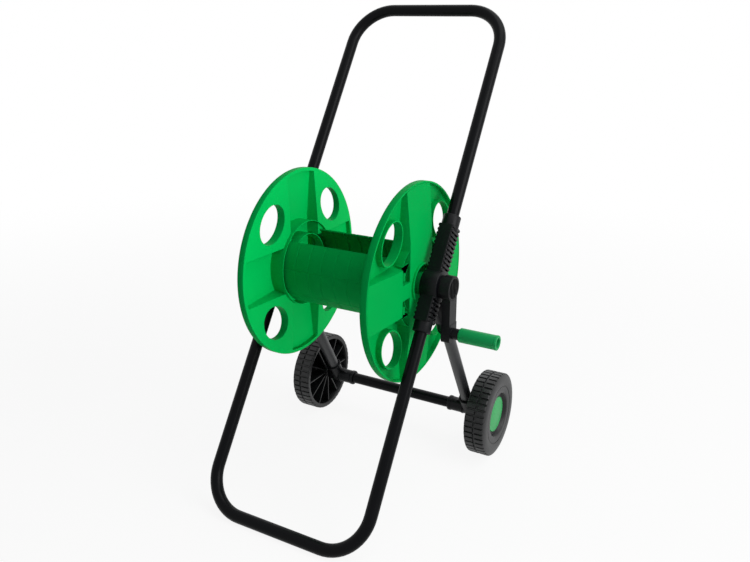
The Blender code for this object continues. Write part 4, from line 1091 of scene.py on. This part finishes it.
def make_grip():
    """The hand grip, a tube with a rolled end and a wide mouth."""
    start = CRANK_OUTER + GRIP_BOSS_LENGTH + CLEARANCE
    end = start + GRIP_LENGTH
    bore = GRIP_PIN_RADIUS + CLEARANCE
    lip = GRIP_RADIUS * 0.1
    profile = [
        (start, bore),
        (start, GRIP_RADIUS),
        (end - 4 * lip, GRIP_RADIUS),
        (end - 3.5 * lip, GRIP_RADIUS + lip / 4),
        (end, GRIP_RADIUS + lip / 4),
        (end, MOUTH_RADIUS),
        (end - MOUTH_DEPTH, MOUTH_RADIUS),
        (end - MOUTH_DEPTH, bore),
    ]
    return turned("crank_grip_moulding", rounded(profile, GRIP_EDGE, 4))


def make_pivot_pin():
    """The headed pin that carries the reel's left end."""
    head = FRAME_HALF_WIDTH + BOSS_OUTER + CLEARANCE
    top = head + 2 * CAP_THICKNESS
    tip = FLANGE_INNER + HUB_TUBE_INNER - CLEARANCE
    floor = tip + SHAFT_RADIUS
    profile = [
        (tip, BOLT_RADIUS),
        (tip, SHAFT_RADIUS),
        (head, SHAFT_RADIUS),
        (head, CAP_RADIUS),
        (head + CAP_THICKNESS, CAP_RADIUS),
        (top, CAP_RADIUS - CAP_THICKNESS),
        (top, 0),
        (floor, 0),
        (floor, BOLT_RADIUS),
    ]
    return swapped("left_pivot_moulding", turned("pin", rounded(profile, FLANGE_EDGE)))


def dress_crank():
    show(softened(make_crank()), AT_REEL, BLACK, "reel", "black_plastic", "crank_arm")
    cap, grip, pin = [smooth(piece, TURNED_ANGLE) for piece in (make_cap(), make_grip(), make_pivot_pin())]
    show(cap, AT_REEL, BLACK, "reel", "black_plastic", "crank_cap")
    show(grip, AT_GRIP, GRIP_GREEN, "grip", "green_plastic", "crank_grip")
    show(pin, AT_REEL, BLACK, "reel", "black_plastic", "left_pivot_pin")


# Wheels, hub caps, tees and screws


def wheel_rings(steps=6):
    """Rings of the right wheel as (x, radius, lug share), bore to bore."""
    outer = WHEEL_WIDTH
    floor = outer - DISH_DEPTH
    seat = floor - HUB_CAP_SEAT
    bore = AXLE_RADIUS + CLEARANCE
    cap_hole = HUB_CAP_RADIUS + CLEARANCE
    line, dish, cavity = RING_LINE_RADIUS, DISH_RADIUS, CAVITY_RADIUS
    hub, hub_inner = WHEEL_HUB_RADIUS, WHEEL_HUB_INNER
    web, rest = WEB_INNER, WEB_INNER - HUB_CAP_SEAT
    lug = LUG_HEIGHT
    bead = lug / 2
    middle = outer / 2
    groove = CENTRE_GROOVE / 2
    top = AXLE_Z
    nick = FINE_STEP
    rings = [
        (seat, bore, 0),
        (seat, cap_hole - nick, 0),
        (seat + nick, cap_hole, 0),
        (floor - 1.5 * nick, cap_hole, 0),
        (floor, cap_hole + 1.5 * nick, 0),
        (floor, dish - 2.6 * bead, 0),
        (floor + 2.5 * nick, dish - 2 * bead, 0),
        (outer - 1.4 * bead, dish - 0.2 * bead, 0),
        (outer - 0.6 * bead, dish + 0.3 * bead, 0),
        (outer - 0.15 * bead, dish + bead, 0),
        (outer + 0.5 * nick, line - 5 * bead, 0),
        (outer + 1.5 * nick, line - bead, 0),
        (outer - 2 * nick, line - 3 * nick, 0),
        (outer - 2 * nick, line + nick, 0),
        (outer + 3 * nick, line + 4 * nick, 0),
    ]
    first, last = line + 10 * nick, top - lug
    for step in range(steps + 1):
        share = step / steps
        bulge = SIDE_BULGE * math.sin(math.pi * (0.25 + 0.75 * share)) - SIDE_DROP * share**4
        rings.append((outer + bulge, first + (last - first) * share, 0))
    rings += [
        (outer - 10 * nick, top - 0.35 * lug, 1),
        (outer - 13.5 * nick, top - 0.10 * lug, 1),
        (outer - 3 * bead, top, 1),
        (middle + groove, top, 1),
        (middle + 0.85 * groove, top - 0.2 * lug, 1),
        (middle + 0.5 * groove, top - lug, 0),
        (middle - 0.5 * groove, top - lug, 0),
        (middle - 0.85 * groove, top - 0.2 * lug, 1),
        (middle - groove, top, 1),
        (13 * nick, top, 1),
        (bead, top - 0.12 * lug, 1),
        (2 * nick, top - 0.4 * lug, 1),
        (0, top - lug, 0),
        (0, cavity + bead, 0),
        (2 * nick, cavity + 2 * nick, 0),
        (bead, cavity, 0),
        (web - 7.5 * nick, cavity - bead + nick, 0),
        (web, cavity - bead - 7.5 * nick, 0),
        (web, HUB_CAP_RADIUS + 3 * bead, 0),
        (rest, HUB_CAP_RADIUS, 0),
        (rest, hub + 5 * nick, 0),
        (rest - 5 * nick, hub, 0),
        (hub_inner + 3 * nick, hub, 0),
        (hub_inner, hub - 3 * nick, 0),
        (hub_inner, bore, 0),
    ]
    return rings


def make_wheel():
    """The right wheel with its lugs, dish, cavity, hub and spokes."""
    turn = math.tau / WHEEL_LUGS
    half = turn / 2
    flat = (LUG_SHARE - LUG_CORNER) * half
    side = LUG_SHARE * half
    foot = (LUG_SHARE + LUG_FLANK) * half
    lug = [(-side, LUG_SHOULDER), (-flat, 1), (0, 1), (flat, 1)]
    lug += [(side, LUG_SHOULDER), (foot, 0), (half, 0), (turn - foot, 0)]
    bm = bmesh.new()
    rows = []
    for x, radius, share in wheel_rings():
        row = []
        for index in range(WHEEL_LUGS):
            for offset, height in lug:
                angle = index * turn + offset - math.pi / 2
                r = radius - share * (1 - height) * (radius - AXLE_Z + LUG_HEIGHT)
                row.append(bm.verts.new((x, r * math.cos(angle), r * math.sin(angle))))
        rows.append(row)
    for first, second in zip(rows, rows[1:] + rows[:1]):
        bridge(bm, first, second)
    wheel = object_from("right_wheel_moulding", bm)
    low = (LUG_HEIGHT, -SPOKE_THICKNESS / 2, WHEEL_HUB_RADIUS - SPOKE_THICKNESS / 2)
    high = (WEB_INNER + OVERLAP, SPOKE_THICKNESS / 2, CAVITY_RADIUS)
    spokes = []
    for index in range(WHEEL_SPOKES):
        spoke = block("spoke", low, high)
        spokes.append(moved(spoke, Matrix.Rotation(index * math.tau / WHEEL_SPOKES, 4, "X")))
    union(wheel, *spokes)
    return moved(wheel, Matrix.Translation((WHEEL_INNER, 0, 0)))


def make_hub_cap(steps=14):
    """The domed hub cap, a thin shell that snaps into the wheel's dish."""
    seat = WHEEL_INNER + WHEEL_WIDTH - DISH_DEPTH - HUB_CAP_SEAT + CLEARANCE
    shoulder = seat + HUB_CAP_SEAT + HUB_CAP_WALL
    wall_radius = HUB_CAP_RADIUS - HUB_CAP_WALL
    outer = []
    inner = []
    for step in range(steps):
        share = step / steps
        dome = shoulder + HUB_CAP_RISE * (1 - share**2)
        outer.append((dome, HUB_CAP_RADIUS * share))
        inner.append((dome - HUB_CAP_WALL, wall_radius * share))
    nick = FINE_STEP
    profile = [
        *outer,
        (shoulder + 2 * nick, HUB_CAP_RADIUS - 3 * nick),
        (shoulder - 2 * nick, HUB_CAP_RADIUS),
        (seat, HUB_CAP_RADIUS),
        (seat, wall_radius),
        (shoulder - HUB_CAP_WALL, wall_radius),
        *reversed(inner),
    ]
    return turned("right_hub_cap_moulding", profile)


def make_tee():
    """The right axle tee: a sleeve on the cross tube and a socket for the leg."""
    centre = Vector((FRAME_HALF_WIDTH, 0, 0))
    turn = Matrix.Rotation(LEG_TILT, 3, "X")
    side = turn @ Y_AXIS

    def along_leg(name, start, end, radius, edge=0.0):
        ends = [(centre + turn @ Vector((0, 0, s)), X_AXIS, side) for s in (start, end)]
        return pipe(name, ends, radius, COLLAR_SIDES, edge)

    def along_axle(name, start, end, radius, edge):
        return rod_x(name, start, end, radius, sides=COLLAR_SIDES, edge=edge)

    tee = along_axle("right_tee_moulding", TEE_INNER, TEE_OUTER, TEE_RADIUS, TEE_EDGE)
    bead_start = TEE_REACH - TEE_SOCKET_BEAD
    rise = turn @ Vector((0, 0, TEE_RADIUS / 2))
    gusset = [
        centre + rise,
        Vector((TEE_INNER + TEE_BEAD, 0, 0)) + rise,
        centre + turn @ Vector((-TEE_RADIUS / 2, 0, bead_start)),
    ]
    gusset = [point - side * (GUSSET_THICKNESS / 2) for point in gusset]
    second = TEE_INNER + 4 * TEE_BEAD
    union(
        tee,
        along_axle("bead", TEE_INNER, TEE_INNER + TEE_BEAD, TEE_BEAD_RADIUS, BOSS_EDGE),
        along_axle("second_bead", second, second + TEE_BEAD / 2, TEE_BEAD_RADIUS, BOSS_EDGE / 2),
        along_leg("socket", 0, TEE_REACH, TEE_RADIUS),
        along_leg("socket_bead", bead_start, TEE_REACH, TEE_BEAD_RADIUS, COLLAR_EDGE),
        extruded("gusset", gusset, side * GUSSET_THICKNESS),
    )
    cut(
        tee,
        rod_x("cross_bore", 0, CROSS_HALF + CLEARANCE, BORE_RADIUS),
        along_leg("leg_bore", LEG_END_GAP - CLEARANCE, 2 * TEE_REACH, BORE_RADIUS),
        rod_x("axle_bore", 0, 2 * TEE_OUTER, AXLE_RADIUS + CLEARANCE),
    )
    return tee


def make_screw(name, x, z):
    """A pan-head screw along Y with a cross recess, its head towards +Y."""
    seat = SCREW_SEAT + CLEARANCE
    rim = SCREW_SEAT + 0.5 * SCREW_HEAD_HEIGHT
    end = SCREW_SEAT + SCREW_HEAD_HEIGHT
    radius = SCREW_HEAD_RADIUS
    profile = [(SCREW_TIP, 0), (SCREW_TIP, 0.4 * SCREW_RADIUS), (SCREW_TIP + SCREW_RADIUS, SCREW_RADIUS)]
    profile += [(seat, SCREW_RADIUS), (seat, radius), (rim, radius), (end - FINE_STEP, 0.75 * radius)]
    profile += [(end, 0.4 * radius), (end, 0)]
    screw = turned(name, profile, SCREW_SIDES)
    arm, reach = 0.22 * radius, 0.6 * radius
    slots = [
        block("slot", (rim, -across, -along), (2 * end, across, along))
        for across, along in ((reach, arm), (arm, reach))
    ]
    cut(screw, *slots)
    return moved(screw, Matrix.Translation((x, 0, z)) @ Matrix.Rotation(math.pi / 2, 4, "Z"))


def dress_running_gear():
    road_wheel = "{side}_road_wheel"
    show_pair(make_wheel(), AT_AXLE, TREAD, road_wheel, "black_plastic", "wheel", angle=WHEEL_ANGLE)
    hub_cap = make_hub_cap()
    # the hub caps take the paler copy of the green plastic, whose pale tint is painted highlight
    show_pair(hub_cap, AT_AXLE, CAP_GREEN_PAINTED_HIGHLIGHT, road_wheel, "green_plastic", "hub_cap", angle=WHEEL_ANGLE)
    show_pair(make_tee(), AT_AXLE, BLACK, "cart_frame", "black_plastic", "axle_tee", SOFT_EDGE)
    near, far = TEE_OUTER + CLEARANCE, WHEEL_INNER + WHEEL_HUB_INNER - CLEARANCE
    bore, radius = AXLE_RADIUS + CLEARANCE, WHEEL_HUB_RADIUS
    outline = [(near, bore), (near, radius), (far, radius), (far, bore)]
    washer = turned("right_washer_ring", rounded(outline, FINE_STEP))
    show_pair(washer, AT_AXLE, STEEL, "cart_frame", "zinc_plated_steel", "axle_washer")
    foot_end = TEE_REACH - TEE_SOCKET_BEAD - SCREW_HEAD_RADIUS - OVERLAP - LEG_LENGTH
    middle = FRAME_HALF_WIDTH
    for node, matrix, x, z in (
        ("handle_screw", AT_FRAME, middle, UPPER_REACH - UPPER_COLLAR / 2),
        ("foot_screw", AT_FRAME, middle, LOWER_COLLAR / 2 - LOWER_REACH),
        ("leg_top_screw", AT_LEGS, middle, SCREW_SEAT - LEG_SOCKET_REACH),
        ("leg_foot_screw", AT_LEGS, middle, foot_end),
        ("cross_tube_screw", AT_AXLE, TEE_INNER + TEE_BEAD + 2 * SCREW_HEAD_RADIUS, 0),
    ):
        screw = make_screw(f"right_{node}_turned", x, z)
        show_pair(screw, matrix, STEEL, "cart_frame", "zinc_plated_steel", node)


set_up_camera()
add_floor()
dress_tubes()
dress_brackets()
dress_reel()
dress_crank()
dress_running_gear()
set_up_light()

NODE_LOOKS = {
    "green_plastic": GREEN,
    "black_plastic": BLACK,
    "black_painted_steel": PAINT,
    "zinc_plated_steel": STEEL,
}
slot_of = {item["node"]: item["material_slot"] for item in frame["record"]["subparts"]}
for name, node in frame["nodes"].items():
    node.data.materials.clear()
    node.data.materials.append(NODE_LOOKS[slot_of[name]])
    smooth(node, NODE_ANGLE)
